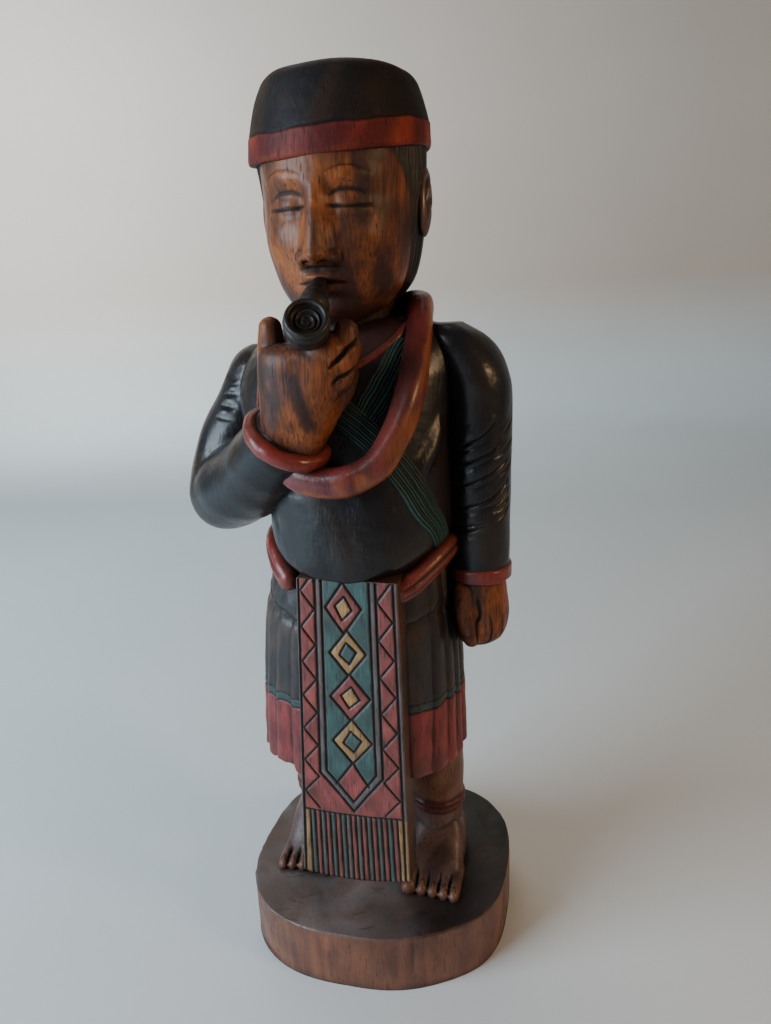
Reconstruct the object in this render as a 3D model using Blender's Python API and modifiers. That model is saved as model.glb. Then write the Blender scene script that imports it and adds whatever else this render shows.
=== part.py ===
"""Carved wooden figure of a pipe smoker, cut with its base from one log.

Metres, +Z up. The figure faces -Y, its left hand is towards +X, and the origin is
the centre of the base's flat underside. The log is one solid: every form below is
joined to the base by a Boolean, and the carver's grooves are then cut out of it.
"""
import math

import bmesh
import bpy
from mathutils import Matrix, Vector

# Driving dimensions
BASE_WIDTH = 0.199
BASE_DEPTH = 0.186
BASE_THICKNESS = 0.046
BASE_EDGE = 0.0025
FIGURE_HEIGHT = 0.554

# The figure is carved in units, shares of its own height, counted up from inside the base
FEET_LEVEL = 6
HAT_TOP = 560
UNIT = FIGURE_HEIGHT / (HAT_TOP - FEET_LEVEL)

# Outline of the base
OUTLINE_POINTS = 38
OUTLINE_POWER = 2.7
CORNER_TRIM = 0.085
CORNER_ANGLE = math.radians(-55)
CORNER_SPREAD = math.radians(32)

# Axis of the body and of the head
BODY_X = -7
BODY_Y = -9
HEAD_X = -3.5
HEAD_Y = -15

# Counts of what repeats
PLEATS = 36
FRINGE_STRIPES = 17
BELT_TURNS = 24
RING_TURNS = 16

# How much higher the belt lies on the hips than on the belly
WAIST_RISE = 20
ZIGZAGS = 7
TOES = 5

WOOD_COLOUR = (0.20, 0.11, 0.07, 1.0)


def make_collection(name):
    collection = bpy.data.collections.new(name)
    bpy.context.scene.collection.children.link(collection)
    return collection


for old in list(bpy.data.objects):
    bpy.data.objects.remove(old)
PART = make_collection("Carved wooden figure")
FORMS = make_collection("Forms joined to the log")
GOUGES = make_collection("Gouge cuts")


def point(x, y, z):
    """A place on the figure, in units across, front to back and up."""
    return Vector((x * UNIT, y * UNIT, BASE_THICKNESS + (z - FEET_LEVEL) * UNIT))


def add_object(name, mesh, collection):
    obj = bpy.data.objects.new(name, mesh)
    collection.objects.link(obj)
    if collection is not PART:
        obj.hide_render = True
        obj.display_type = 'WIRE'
    return obj


def superellipse(angle, power):
    """Across and along parts of a superellipse's edge at an angle."""
    c = math.cos(angle)
    s = math.sin(angle)
    across = math.copysign(abs(c) ** (2 / power), c)
    along = math.copysign(abs(s) ** (2 / power), s)
    return across, along


def loft(name, rings, collection=FORMS):
    """A closed skin over rings of equally many points, capped at both ends."""
    mesh = bmesh.new()
    loops = [[mesh.verts.new(spot) for spot in ring] for ring in rings]
    for lower, upper in zip(loops, loops[1:]):
        for i in range(len(lower)):
            j = (i + 1) % len(lower)
            mesh.faces.new((lower[i], lower[j], upper[j], upper[i]))
    mesh.faces.new(reversed(loops[0]))
    mesh.faces.new(loops[-1])
    bmesh.ops.recalc_face_normals(mesh, faces=mesh.faces)
    data = bpy.data.meshes.new(name)
    mesh.to_mesh(data)
    mesh.free()
    return add_object(name, data, collection)


def no_lean(x, z):
    return 0


def upright(name, rows, around, power=2.0, relief=None, lean=no_lean):
    """A loft of ovals: each row is height, centre x and y, half width, half depth."""
    rings = []
    for z, cx, cy, half_x, half_y in rows:
        ring = []
        for i in range(around):
            angle = 2 * math.pi * i / around
            across, along = superellipse(angle, power)
            grow = relief(angle, z) if relief else 0
            x = cx + across * (half_x + grow)
            ring.append(point(x, cy + along * (half_y + grow), z + lean(x, z)))
        rings.append(ring)
    return loft(name, rings)


def rounded(rows):
    """Rows of x, y, z, radius with half-round ends added."""
    rows = list(rows)
    shares = (0.55, 0.9)
    ends = []
    for end, inner in ((rows[0], rows[1]), (rows[-1], rows[-2])):
        out = (Vector(end[:3]) - Vector(inner[:3])).normalized()
        ends.append([[*(Vector(end[:3]) + out * end[3] * share),
                      end[3] * math.sqrt(1 - share * share)] for share in shares])
    return ends[0][::-1] + rows + ends[1]


def tube(name, splines, resolution, collection=FORMS, cyclic=False):
    """Bevelled curves through rows of x, y, z, radius, made one welded mesh."""
    curve = bpy.data.curves.new(name, 'CURVE')
    curve.dimensions = '3D'
    curve.bevel_depth = UNIT
    curve.bevel_resolution = resolution
    curve.use_fill_caps = not cyclic
    for rows in splines:
        spline = curve.splines.new('POLY')
        spline.points.add(len(rows) - 1)
        spline.use_cyclic_u = cyclic
        for knot, (x, y, z, radius) in zip(spline.points, rows):
            knot.co = (*point(x, y, z), 1)
            knot.radius = radius
    shape = bpy.data.objects.new(name, curve)
    bpy.context.scene.collection.objects.link(shape)
    bpy.context.view_layer.update()
    graph = bpy.context.evaluated_depsgraph_get()
    data = bpy.data.meshes.new_from_object(shape.evaluated_get(graph))
    bpy.data.objects.remove(shape)
    mesh = bmesh.new()
    mesh.from_mesh(data)
    bmesh.ops.remove_doubles(mesh, verts=mesh.verts, dist=0.00001)
    bmesh.ops.recalc_face_normals(mesh, faces=mesh.faces)
    mesh.to_mesh(data)
    mesh.free()
    return add_object(name, data, collection)


def ball(name, centre, radii, turn=(0, 0, 0), segments=12, collection=FORMS):
    """A UV sphere stretched to three radii and turned by degrees about X, Y and Z."""
    mesh = bmesh.new()
    bmesh.ops.create_uvsphere(mesh, u_segments=segments, v_segments=segments * 2 // 3, radius=1)
    spin = Matrix.Identity(3)
    for degrees, axis in zip(turn, 'XYZ'):
        spin = Matrix.Rotation(math.radians(degrees), 3, axis) @ spin
    for vert in mesh.verts:
        stretched = Vector([part * radius * UNIT for part, radius in zip(vert.co, radii)])
        vert.co = point(*centre) + spin @ stretched
    data = bpy.data.meshes.new(name)
    mesh.to_mesh(data)
    mesh.free()
    return add_object(name, data, collection)


def turned(name, profile, centre, axis, steps, collection=FORMS):
    """A Screw of a radius and height profile, stood on a centre along an axis."""
    mesh = bmesh.new()
    verts = [mesh.verts.new((radius * UNIT, 0, height * UNIT)) for radius, height in profile]
    for first, second in zip(verts, verts[1:]):
        mesh.edges.new((first, second))
    data = bpy.data.meshes.new(name)
    mesh.to_mesh(data)
    mesh.free()
    obj = add_object(name, data, collection)
    screw = obj.modifiers.new("Turn", 'SCREW')
    screw.steps = steps
    screw.render_steps = steps
    screw.use_merge_vertices = True
    screw.merge_threshold = 0.00001
    obj.matrix_world = (Matrix.Translation(point(*centre))
                        @ Vector(axis).to_track_quat('Z', 'Y').to_matrix().to_4x4())
    return obj


def combine(obj, operation, collection):
    """A Boolean of an object with each form in a collection, one after another."""
    for form in collection.objects:
        modifier = obj.modifiers.new(form.name, 'BOOLEAN')
        modifier.operation = operation
        modifier.object = form
        modifier.solver = 'EXACT'


# The base
def base_outline():
    """The trunk's rounded square, with one front corner trimmed."""
    outline = []
    for i in range(OUTLINE_POINTS):
        angle = 2 * math.pi * i / OUTLINE_POINTS
        across, along = superellipse(angle, OUTLINE_POWER)
        off = math.remainder(angle - CORNER_ANGLE, 2 * math.pi)
        trim = 1 - CORNER_TRIM * math.exp(-(off / CORNER_SPREAD) ** 2)
        outline.append((across * BASE_WIDTH / 2 * trim, along * BASE_DEPTH / 2 * trim))
    return outline


def make_base():
    levels = ((0, 0), (BASE_THICKNESS - BASE_EDGE, 0), (BASE_THICKNESS, BASE_EDGE))
    rings = []
    for height, inset in levels:
        shrink_x = 1 - 2 * inset / BASE_WIDTH
        shrink_y = 1 - 2 * inset / BASE_DEPTH
        rings.append([Vector((x * shrink_x, y * shrink_y, height)) for x, y in base_outline()])
    return loft("carved_wooden_figure", rings, PART)


# Feet and legs
FEET = ((45, 0, 1), (-54, 9, -1))
FOOT_SIDES = 10
TOE_WIDTHS = (12, 8.6, 8.2, 7.8, 7.4)


def make_foot(name, foot_x, back, outward):
    rows = [(32, 28, 14), (18, 44, 19), (0, 48, 21), (-14, 36, 21.3), (-27, 22, 21.3),
            (-37, 15, 20.5)]
    rings = []
    for y, top, half in rows:
        ring = []
        for i in range(FOOT_SIDES):
            across, up = superellipse(2 * math.pi * i / FOOT_SIDES, 2.4)
            ring.append(point(foot_x + across * half, y + back, top / 2 + up * top / 2))
        rings.append(ring)
    loft(name, rings)
    edge = -outward * sum(TOE_WIDTHS) / 2
    for number, width in enumerate(TOE_WIDTHS):
        middle = edge + outward * width / 2
        edge += outward * width
        reach = back - 35 - 1.1 * (TOES - number)
        ball(f"{name} toe {number + 1}", (foot_x + middle, reach, 9.5),
             (width / 2 + 0.3, 9, 6.8), (14, 0, 0), 6)


def make_leg(name, foot_x):
    rows = [(20, foot_x, 10, 19, 20), (52, foot_x, 9, 19.4, 20),
            (54.5, foot_x, 9, 21.6, 22.4), (58, foot_x, 9, 19.8, 20.5),
            (61.5, foot_x, 9, 21.8, 22.6), (64, foot_x, 9, 19.8, 20.5),
            (90, foot_x, 7, 20.6, 22.5), (130, foot_x * 0.93, 3, 24, 28)]
    upright(name, rows, 12)


# The skirt, its belt and the apron
def pleat(angle, z):
    """Alternate ridges and valleys, deepest at the hem."""
    depth = 1.4 * min(1, max(0, (268 - z) / 90))
    return depth * math.cos(angle * PLEATS)


def waist_rise(x):
    """The waist climbs from the belly to the hips."""
    return WAIST_RISE * min(1.2, (x / 60) ** 2)


def skirt_lean(x, z):
    return waist_rise(x) * min(1, max(0, (z - 200) / 60))


def make_skirt():
    rows = [(117, -7.5, BODY_Y, 74.5, 61.5), (180, -6.5, BODY_Y, 72, 60.8), (220, -5, BODY_Y, 68, 59.6),
            (262, 1, BODY_Y, 57, 56)]
    upright("skirt", rows, PLEATS * 2, 2.15, pleat, skirt_lean)


def make_belt():
    rows = []
    for i in range(BELT_TURNS):
        angle = 2 * math.pi * i / BELT_TURNS
        across, along = superellipse(angle, 2.15)
        x = 60 * across
        rows.append((x, BODY_Y + 61 * along, 257.5 + waist_rise(x), 7))
    tube("belt", [rows], 1, cyclic=True)


APRON_TOP = 268
APRON_HEM = 42
APRON_FRONT = (-76.4, -73)
APRON_BACK = -52
APRON_MIDDLE = (4.3, -1.5)
APRON_HALF = (32.2, 39)
GROOVE = 1.5
GROOVE_LIFT = 0.3


def apron_spot(across, z, lift=0):
    """A place on the apron's face: -1 to 1 across it, at a height."""
    share = (APRON_TOP - z) / (APRON_TOP - APRON_HEM)
    middle = APRON_MIDDLE[0] + (APRON_MIDDLE[1] - APRON_MIDDLE[0]) * share
    half = APRON_HALF[0] + (APRON_HALF[1] - APRON_HALF[0]) * share
    face = APRON_FRONT[0] + (APRON_FRONT[1] - APRON_FRONT[0]) * share
    return middle + across * half, face - lift, z


def make_apron():
    rings = []
    for z in (APRON_TOP, APRON_HEM + 2, APRON_HEM):
        left, face, z = apron_spot(-1, z)
        right = apron_spot(1, z)[0]
        chamfer = 1.5
        inset = 1.5 if z == APRON_HEM else 0
        rings.append([point(left, face + chamfer, z), point(left + chamfer, face + inset, z),
                      point(right - chamfer, face + inset, z), point(right, face + chamfer, z),
                      point(right, APRON_BACK, z), point(left, APRON_BACK, z)])
    return loft("apron", rings)


def apron_grooves():
    """Incised lines of the apron: borders, zigzags, the fringe and a chevron."""
    lines = []
    fringe_top = 95
    above = APRON_TOP + 3
    for left, right, knee, tip in ((-0.66, 0.58, 126, 98), (-0.53, 0.45, 128, 105)):
        lines.append([(left, above), (left, knee), (0.03, tip), (right, knee), (right, above)])
    for side, strip in ((-1, -0.66), (1, 0.58)):
        strip_in = strip + side * 0.085
        strip_out = side * 0.9
        lines.append([(side * 0.94, above), (side * 0.94, fringe_top)])
        zigzag = []
        for turn in range(2 * ZIGZAGS + 1):
            z = 272 - turn * (272 - fringe_top - 2) / (2 * ZIGZAGS)
            zigzag.append((strip_in if turn % 2 == 0 else strip_out, z))
        lines.append(zigzag)
    lines.append([(-0.96, fringe_top), (0.96, fringe_top)])
    for stripe in range(1, FRINGE_STRIPES):
        across = -0.93 + 1.86 * stripe / FRINGE_STRIPES
        lines.append([(across, fringe_top), (across + 0.04, APRON_HEM - 4)])
    lines.append([(-0.27, 119.5), (0.03, 135), (0.31, 119.5)])
    return lines


DIAMONDS = ((-0.06, 248, 0.33, 18), (0.0, 215, 0.32, 14.5), (0.02, 183, 0.33, 16),
            (0.03, 151, 0.31, 14.5))


def cut_apron(apron):
    """Carve the apron's lines with V cuts, one operand for each line."""
    cuts = make_collection("Apron cuts")
    for number, line in enumerate(apron_grooves()):
        rows = [(*apron_spot(across, z, GROOVE_LIFT), GROOVE) for across, z in line]
        tube(f"apron line {number + 1}", [rows], 0, cuts)
    for number, (middle, z, half, tall) in enumerate(DIAMONDS):
        for share in (1, 0.45):
            corners = ((-half, 0), (0, tall), (half, 0), (0, -tall))
            rows = [(*apron_spot(middle + across * share, z + up * share, GROOVE_LIFT), GROOVE)
                    for across, up in corners]
            tube(f"diamond {number + 1} share {share}", [rows], 0, cuts, cyclic=True)
    combine(apron, 'DIFFERENCE', cuts)


# Jacket and arms
def jacket_lean(x, z):
    """The hem climbs with the waist, and the bent arm's shoulder hangs lower."""
    shoulder = 0.065 * x * min(1, max(0, (z - 340) / 60))
    return shoulder + waist_rise(x) * min(1, max(0, (325 - z) / 50))


def make_torso():
    rows = [(252, 0, BODY_Y, 50, 50), (264, 1, BODY_Y, 60, 65), (271, 1, BODY_Y, 62.5, 70.5),
            (292, 1, BODY_Y, 63.5, 70.5), (325, -3, BODY_Y, 67, 67), (355, BODY_X, BODY_Y, 71, 61),
            (380, BODY_X, BODY_Y, 74, 54), (394, -6, BODY_Y, 73, 47), (405, -5, BODY_Y, 68, 40),
            (413, -4, BODY_Y, 59, 33), (420, -4, BODY_Y, 38, 22)]
    upright("torso", rows, 22, 2.2, lean=jacket_lean)


def make_straight_arm():
    rows = [(253, 79.5, -8, 18.6, 21.6), (310, 79, -8, 19.6, 23.2), (368, 78.5, -8, 20.5, 26),
            (386, 76, -8, 21, 27), (399, 70.5, -8, 20.5, 26), (410, 63, -8, 18, 23),
            (417, 56, -8, 12, 17)]
    upright("straight arm", rows, 14, 2.1)
    cuff = [(251, 79.5, -8, 19.5, 22.5), (252.5, 79.5, -8, 20.5, 23.5),
            (258.5, 79.5, -8, 20.5, 23.5), (260.5, 79.5, -8, 19.2, 22)]
    upright("straight cuff", cuff, 14, 2.1)
    fist = [(202, 76, -9, 7, 9), (204.5, 77, -9, 12.5, 14), (211, 79, -9, 17, 19),
            (224, 80, -9, 18.3, 21), (240, 80, -9, 17.3, 20), (256, 79.5, -8, 15, 18)]
    upright("fist", fist, 11, 2.2)
    tube("thumb", [rounded([[70, -29, 238, 5], [71, -31, 224, 6], [73, -30, 210, 5]])], 1)


def make_bent_arm():
    upper = [(-67, -8, 383, 25), (-75, -12, 362, 25.5), (-84, -18, 343, 25.5),
             (-90, -24, 322, 26), (-93, -28, 309, 27)]
    tube("upper arm", [rounded(upper)], 3)
    fore = [(-93, -28, 309, 27), (-78, -40, 317, 26.5), (-60, -52, 326, 25.5), (-44, -65, 336, 24.5)]
    tube("forearm", [rounded(fore)[:-3] + [(-32, -75, 344, 24)]], 3)
    hub = Vector((-30, -77, 345.5))
    axis = Vector((0.50, -0.28, 0.82)).normalized()
    side = axis.orthogonal().normalized()
    over = axis.cross(side)
    ring = []
    for i in range(RING_TURNS):
        angle = 2 * math.pi * i / RING_TURNS
        spot = hub + side * math.cos(angle) * 22 + over * math.sin(angle) * 22
        ring.append((*spot, 5))
    tube("bent cuff", [ring], 1, cyclic=True)


# The raised hand and the pipe
BOWL = (1, -104, 423)
BOWL_AXIS = (0.30, -0.80, 0.52)
MOUTH = (-3.5, -62, 448)


def make_raised_hand():
    rows = [(334, -25, -73, 16, 14), (350, -20.5, -77, 18.5, 16), (370, -14, -80, 21.5, 17.5),
            (390, -8, -82, 25.5, 18), (404, -5.5, -83, 28, 18), (412, -5, -83, 28.5, 16),
            (418, -4.5, -83, 27, 12)]
    upright("raised hand", rows, 14, 2.7)
    tube("raised thumb", [rounded([[-28, -84, 398, 6.5], [-27, -86, 410, 6], [-25, -86, 420, 5.5]])], 1)
    tube("index finger", [rounded([[24, -82, 396, 7], [21, -85, 410, 6.5], [17, -86, 420, 6]])], 1)
    for number, (x, y, z) in enumerate(((24, -76, 411), (22.5, -74, 399), (18, -72, 386))):
        ball(f"finger {number + 2}", (x, y, z), (7, 9, 6.2), (0, 38, 0), 8)


def make_pipe():
    profile = [(0, 3), (8.2, 2.4), (9, 5), (11.4, 5.2), (12.4, 3.4), (12.4, 0), (12, -6),
               (10, -12), (5, -16), (0, -17)]
    turned("pipe bowl", profile, BOWL, BOWL_AXIS, 14)
    stem = [(*MOUTH, 3), (-3, -70, 444, 3.4), (-2.5, -80, 437, 5.5), (-1.5, -90, 429, 9)]
    tube("pipe stem", [stem], 2)


# Neck, head and hat
def make_neck():
    rows = [(398, HEAD_X, -8, 33, 31), (412, HEAD_X, -8, 30, 29), (440, HEAD_X, -8, 28, 27)]
    upright("neck", rows, 16)
    collar = []
    for i in range(RING_TURNS):
        angle = 2 * math.pi * i / RING_TURNS
        tilt = 7 * math.sin(angle)
        collar.append((HEAD_X + 37 * math.cos(angle), -10 + 36 * math.sin(angle), 408 + tilt, 3))
    tube("collar", [collar], 0, cyclic=True)


HEAD_ROWS = ((420, HEAD_X, -32, 13, 14), (428, HEAD_X, -27, 27, 29),
             (438, HEAD_X, -22, 36, 40), (450, HEAD_X, -19, 41.5, 46), (466, HEAD_X, -17, 45.5, 50),
             (486, HEAD_X, -16, 47.5, 52), (505, HEAD_X, HEAD_Y, 48, 53), (520, HEAD_X, HEAD_Y, 47, 52))
EYE_Z = 485.5
NOSE_Z = 453
LIP_Z = 443
EYE_GAP = 18.5


def make_head():
    upright("head", HEAD_ROWS, 24, 2.15)
    hair = [(430, HEAD_X, -2, 28, 26), (445, HEAD_X, -3, 41, 36), (466, HEAD_X, -4, 47, 42.5),
            (490, HEAD_X, -4, 49.2, 44.5), (518, HEAD_X, -4, 49.2, 44.5)]
    upright("hair", hair, 22, 2.15)
    tube("nose", [[(HEAD_X, -63, 496, 3), (HEAD_X, -66, 484, 4), (HEAD_X, -70, 468, 5.5),
                   (HEAD_X, -72.5, 459, 7), (HEAD_X, -67, 452, 5.5)]], 2)
    for side in (-1, 1):
        ball(f"nostril {side}", (HEAD_X + side * 7, -67.5, 457), (4.2, 5, 4.4), segments=6)
        ball(f"eye {side}", (HEAD_X + side * EYE_GAP, -61.5, EYE_Z), (11, 6, 5.6), (0, 0, side * 20), 8)
        ball(f"ear {side}", (HEAD_X + side * 48.5, -9, 488), (4.5, 11, 20), (-8, 0, 0), 7)
        for lip, z in (("upper", LIP_Z + 3), ("lower", LIP_Z - 3.5)):
            ball(f"{lip} lip {side}", (HEAD_X + side * 5.5, -63, z), (8.5, 4.5, 3.2), (0, 0, 0), 7)


def make_hat():
    profile = [(0, 47), (26, 46), (38, 44), (44, 40.5), (46.5, 35), (52.6, 15.5),
               (54, 14.5), (55, 2), (53.5, 0), (0, 0)]
    turned("hat", profile, (HEAD_X, HEAD_Y, 513), (0, 0, 1), 24)


# The neck ring and the sashes
def make_neck_ring():
    path = [(-3, 28, 422, 8), (22, 22, 427, 8), (38, 6, 429, 8), (43, -18, 421, 8),
            (46, -42, 402, 8.2), (45, -58, 382, 8.4), (39, -69, 360, 8.6), (29, -77, 342, 8.8),
            (13, -81, 333, 9), (-4, -81, 331, 9), (-22, -79, 336, 8.8), (-36, -71, 352, 8.4),
            (-43, -58, 374, 8), (-45, -40, 394, 8), (-43, -18, 408, 8), (-37, 4, 415, 8),
            (-24, 21, 418, 8)]
    tube("neck ring", [path], 2, cyclic=True)


def strap(name, rows, half_width, half_thick):
    """A flat strip laid over the body along rows of x, y, z."""
    rings = []
    for i, row in enumerate(rows):
        here = Vector(row)
        along = Vector(rows[min(i + 1, len(rows) - 1)]) - Vector(rows[max(i - 1, 0)])
        out = Vector((row[0] - BODY_X, row[1] - BODY_Y, 0)).normalized()
        side = along.cross(out).normalized()
        corners = ((-1, 0.2), (-0.8, 1), (0.8, 1), (1, 0.2), (1, -1), (-1, -1))
        rings.append([point(*(here + side * half_width * a + out * half_thick * b))
                      for a, b in corners])
    loft(name, rings)


def make_sashes():
    strap("long sash", [(2, -70, 379), (18, -70.5, 366), (33, -70.5, 348), (47, -65, 326),
                        (57, -56, 304), (65, -44, 276)], 8.5, 3)
    strap("short sash", [(38, -42, 404), (28, -58, 386), (16, -68, 368), (4, -73, 352)], 9, 3)


# Gouge cuts
def gouge(name, rows, width):
    """A V cut that fades out at both ends of a path."""
    last = len(rows) - 1
    cut = [(*row, width * (0.25 + 0.75 * math.sin(math.pi * i / last))) for i, row in enumerate(rows)]
    tube(name, [cut], 0, GOUGES)


def cut_sleeve_folds():
    for number in range(6):
        rows = []
        for step in range(5):
            angle = math.radians(-143 + 36 * step)
            across, along = superellipse(angle, 2.1)
            z = 272 + 14.5 * number + 1.5 * step + 0.8 * step * step
            wider = (z - 262) / 100
            rows.append((79 + (19.3 + wider) * across, -8 + (22.4 + 2 * wider) * along, z))
        gouge(f"straight sleeve fold {number + 1}", rows, 2.4)
    for number, (x, y, z) in enumerate(((-85, -19, 340), (-80, -15, 352), (-75, -12, 364))):
        gouge(f"bent sleeve fold {number + 1}",
              [(x - 17, y - 19, z + 2), (x - 5, y - 25, z), (x + 7, y - 24, z - 4)], 2.2)


def cut_face():
    for side in (-1, 1):
        lid = ((8, -66.5, 0.5), (13, -68, -1.2), (19, -67.4, -1.8), (24.5, -64.8, -1.2), (30, -59, 0.5))
        gouge(f"lid {side}", [(HEAD_X + side * x, y, EYE_Z + z) for x, y, z in lid], 1.4)


def cut_fingers():
    for number, (x, z) in enumerate(((28, 417), (27, 405), (24, 393))):
        gouge(f"finger groove {number + 1}",
              [(x + 4, -72, z + 6), (x, -84, z - 1), (x - 6, -93, z - 10)], 2)
    gouge("thumb groove", [(77, -30, 240), (80, -32, 228), (78, -31, 214)], 2.2)


def cut_hair():
    """Vertical strands round the sides and back of the head."""
    strands = 10
    for number in range(strands):
        angle = math.radians(-22 + 224 * number / (strands - 1))
        across, along = superellipse(angle, 2.15)
        rows = [(HEAD_X + share * 49.5 * across, -4 + share * 44.5 * along, z)
                for z, share in ((508, 1), (466, 0.97), (444, 0.86))]
        tube(f"strand {number + 1}", [[(*row, 1.5) for row in rows]], 0, GOUGES)


def wood_material():
    wood = bpy.data.materials.new("carved_wood")
    wood.use_nodes = True
    shader = wood.node_tree.nodes["Principled BSDF"]
    shader.inputs["Base Color"].default_value = WOOD_COLOUR
    shader.inputs["Roughness"].default_value = 0.5
    shader.inputs["Metallic"].default_value = 0.0
    return wood


def main():
    figure = make_base()
    for number, (foot_x, back, outward) in enumerate(FEET):
        make_foot(f"foot {number + 1}", foot_x, back, outward)
        make_leg(f"leg {number + 1}", foot_x - 2 * outward)
    make_skirt()
    make_belt()
    cut_apron(make_apron())
    make_torso()
    make_straight_arm()
    make_bent_arm()
    make_raised_hand()
    make_pipe()
    make_neck()
    make_head()
    make_hat()
    make_neck_ring()
    make_sashes()
    cut_sleeve_folds()
    cut_face()
    cut_fingers()
    cut_hair()
    combine(figure, 'UNION', FORMS)
    combine(figure, 'DIFFERENCE', GOUGES)
    figure.data.materials.append(wood_material())


main()
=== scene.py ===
"""Visual model of the carved wooden figure of a pipe smoker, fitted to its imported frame.

The figure is worked out in millimetres, with a height of 0 at 40 mm above the base's
underside. Every piece rides on the one body and stands for the one solid.
"""
import math

import bmesh
import bpy
import numpy as np
from mathutils import Matrix, Vector
from mathutils.bvhtree import BVHTree


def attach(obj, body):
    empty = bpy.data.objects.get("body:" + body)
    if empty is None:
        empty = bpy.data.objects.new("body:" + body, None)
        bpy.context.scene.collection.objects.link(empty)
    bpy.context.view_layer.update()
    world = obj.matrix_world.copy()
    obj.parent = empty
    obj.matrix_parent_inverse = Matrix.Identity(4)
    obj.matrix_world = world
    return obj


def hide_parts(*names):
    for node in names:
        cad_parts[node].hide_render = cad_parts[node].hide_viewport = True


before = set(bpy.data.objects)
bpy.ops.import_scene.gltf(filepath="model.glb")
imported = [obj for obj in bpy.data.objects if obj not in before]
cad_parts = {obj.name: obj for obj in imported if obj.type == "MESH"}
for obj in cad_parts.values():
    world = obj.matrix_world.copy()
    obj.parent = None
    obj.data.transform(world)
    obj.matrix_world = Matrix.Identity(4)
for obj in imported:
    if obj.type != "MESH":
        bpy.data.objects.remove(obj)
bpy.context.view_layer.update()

NODE = "carved_wooden_figure"
MM = 0.001
CAP_RINGS = 7  # the rings of points that round each end of an open tube

# The part's own dimensions, in millimetres
BASE_WIDTH = 199
BASE_DEPTH = 186
BASE_POWER = 2.7
BASE_LOW = -40
BASE_TOP = 6
BODY_Y = -9
HEAD_X = -3.5
HEAD_Y = -15
PLEATS = 27
WAIST_RISE = 20
LIFT = np.array((0, 0, -BASE_LOW))


# Tools
def superellipse(angle, power):
    c, s = np.cos(angle), np.sin(angle)
    return np.sign(c) * np.abs(c) ** (2 / power), np.sign(s) * np.abs(s) ** (2 / power)


def smoothstep(value, low, high):
    t = np.clip((value - low) / (high - low), 0, 1)
    return t * t * (3 - 2 * t)


def spline(rows, count, closed=False):
    """Rows resampled at even steps, or at the given shares, along a smooth curve through them."""
    rows = np.array(rows, float)
    last = len(rows) if closed else len(rows) - 1
    fine = []
    for i in range(last):
        if closed:
            p0, p1, p2, p3 = (rows[(i + k) % len(rows)] for k in (-1, 0, 1, 2))
        else:
            p0, p1, p2, p3 = (rows[min(max(i + k, 0), last)] for k in (-1, 0, 1, 2))
        for t in np.linspace(0, 1, 20, endpoint=False):
            fine.append(0.5 * (2 * p1 + (p2 - p0) * t + (2 * p0 - 5 * p1 + 4 * p2 - p3) * t * t
                               + (3 * p1 - p0 - 3 * p2 + p3) * t ** 3))
    fine.append(rows[0] if closed else rows[-1])
    fine = np.array(fine)
    length = np.concatenate([[0], np.cumsum(np.linalg.norm(np.diff(fine, axis=0), axis=1))])
    at = length[-1] * (np.linspace(0, 1, count, endpoint=not closed) if np.isscalar(count) else count)
    return np.stack([np.interp(at, length, column) for column in fine.T], 1)


def waver(co, size, seed):
    """Smooth noise of about -1 to 1, from waves about a size long."""
    rng = np.random.default_rng(seed)
    total = np.zeros(len(co))
    for _ in range(6):
        way = rng.normal(size=3)
        way *= 2 * math.pi / (np.linalg.norm(way) * size * rng.uniform(0.6, 1.6))
        total += np.sin(co @ way + rng.uniform(0, 2 * math.pi))
    return total / 3


def blotches(co, size, seed, low, high, tall=1.0):
    """Soft-edged patches of 0 to 1, drawn out in height where tall is under 1."""
    return smoothstep(waver(co * (1, 1, tall), size, seed), low, high)[:, None]


def blend(share, first, second):
    """The colour that lies a share of the way from the first to the second."""
    return (1 - share) * np.array(first) + share * np.array(second)


def add_object(name, verts, faces):
    mesh = bpy.data.meshes.new(name)
    mesh.from_pydata(((np.asarray(verts) + LIFT) * MM).tolist(), [], faces)
    obj = bpy.data.objects.new(name, mesh)
    bpy.context.scene.collection.objects.link(obj)
    return obj


def skin(name, rings, closed=False):
    """A closed surface over rings of points, with a fan over each open end."""
    rows, around, _ = rings.shape
    verts = rings.reshape(-1, 3)
    i = np.arange(around)
    j = (i + 1) % around
    r = np.arange(rows if closed else rows - 1)[:, None] * around
    up = (r + around) % (rows * around)
    faces = np.stack([r + i, r + j, up + j, up + i], -1).reshape(-1, 4).tolist()
    if not closed:
        verts = np.concatenate([verts, rings[:1].mean(1), rings[-1:].mean(1)])
        low, high, top = rows * around, rows * around + 1, (rows - 1) * around
        faces += [(low, b, a) for a, b in zip(i.tolist(), j.tolist())]
        faces += [(high, top + a, top + b) for a, b in zip(i.tolist(), j.tolist())]
    obj = add_object(name, verts, faces)
    outward(obj)
    return obj


def outward(obj):
    mesh = bmesh.new()
    mesh.from_mesh(obj.data)
    bmesh.ops.recalc_face_normals(mesh, faces=mesh.faces)
    if mesh.calc_volume(signed=True) < 0:
        bmesh.ops.reverse_faces(mesh, faces=mesh.faces)
    mesh.to_mesh(obj.data)
    mesh.free()


def upright(name, rows, around, steps, power=2.0, relief=None, lean=None, crowd=0.0):
    """A loft of ovals: each row is height, centre x and y, half width, half depth."""
    s = 2 * math.pi * np.arange(around) / around
    angle = s - crowd * np.sin(s + math.pi / 2)
    across, along = superellipse(angle, power)
    z, cx, cy, half_x, half_y = spline(rows, steps).T[:, :, None]
    grow = relief(angle[None], z) if relief else 0
    x = cx + across * (half_x + grow)
    y = cy + along * (half_y + grow)
    z = z + (lean(x, z) if lean else 0 * x)
    return skin(name, np.stack([x, y, z], -1))


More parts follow.
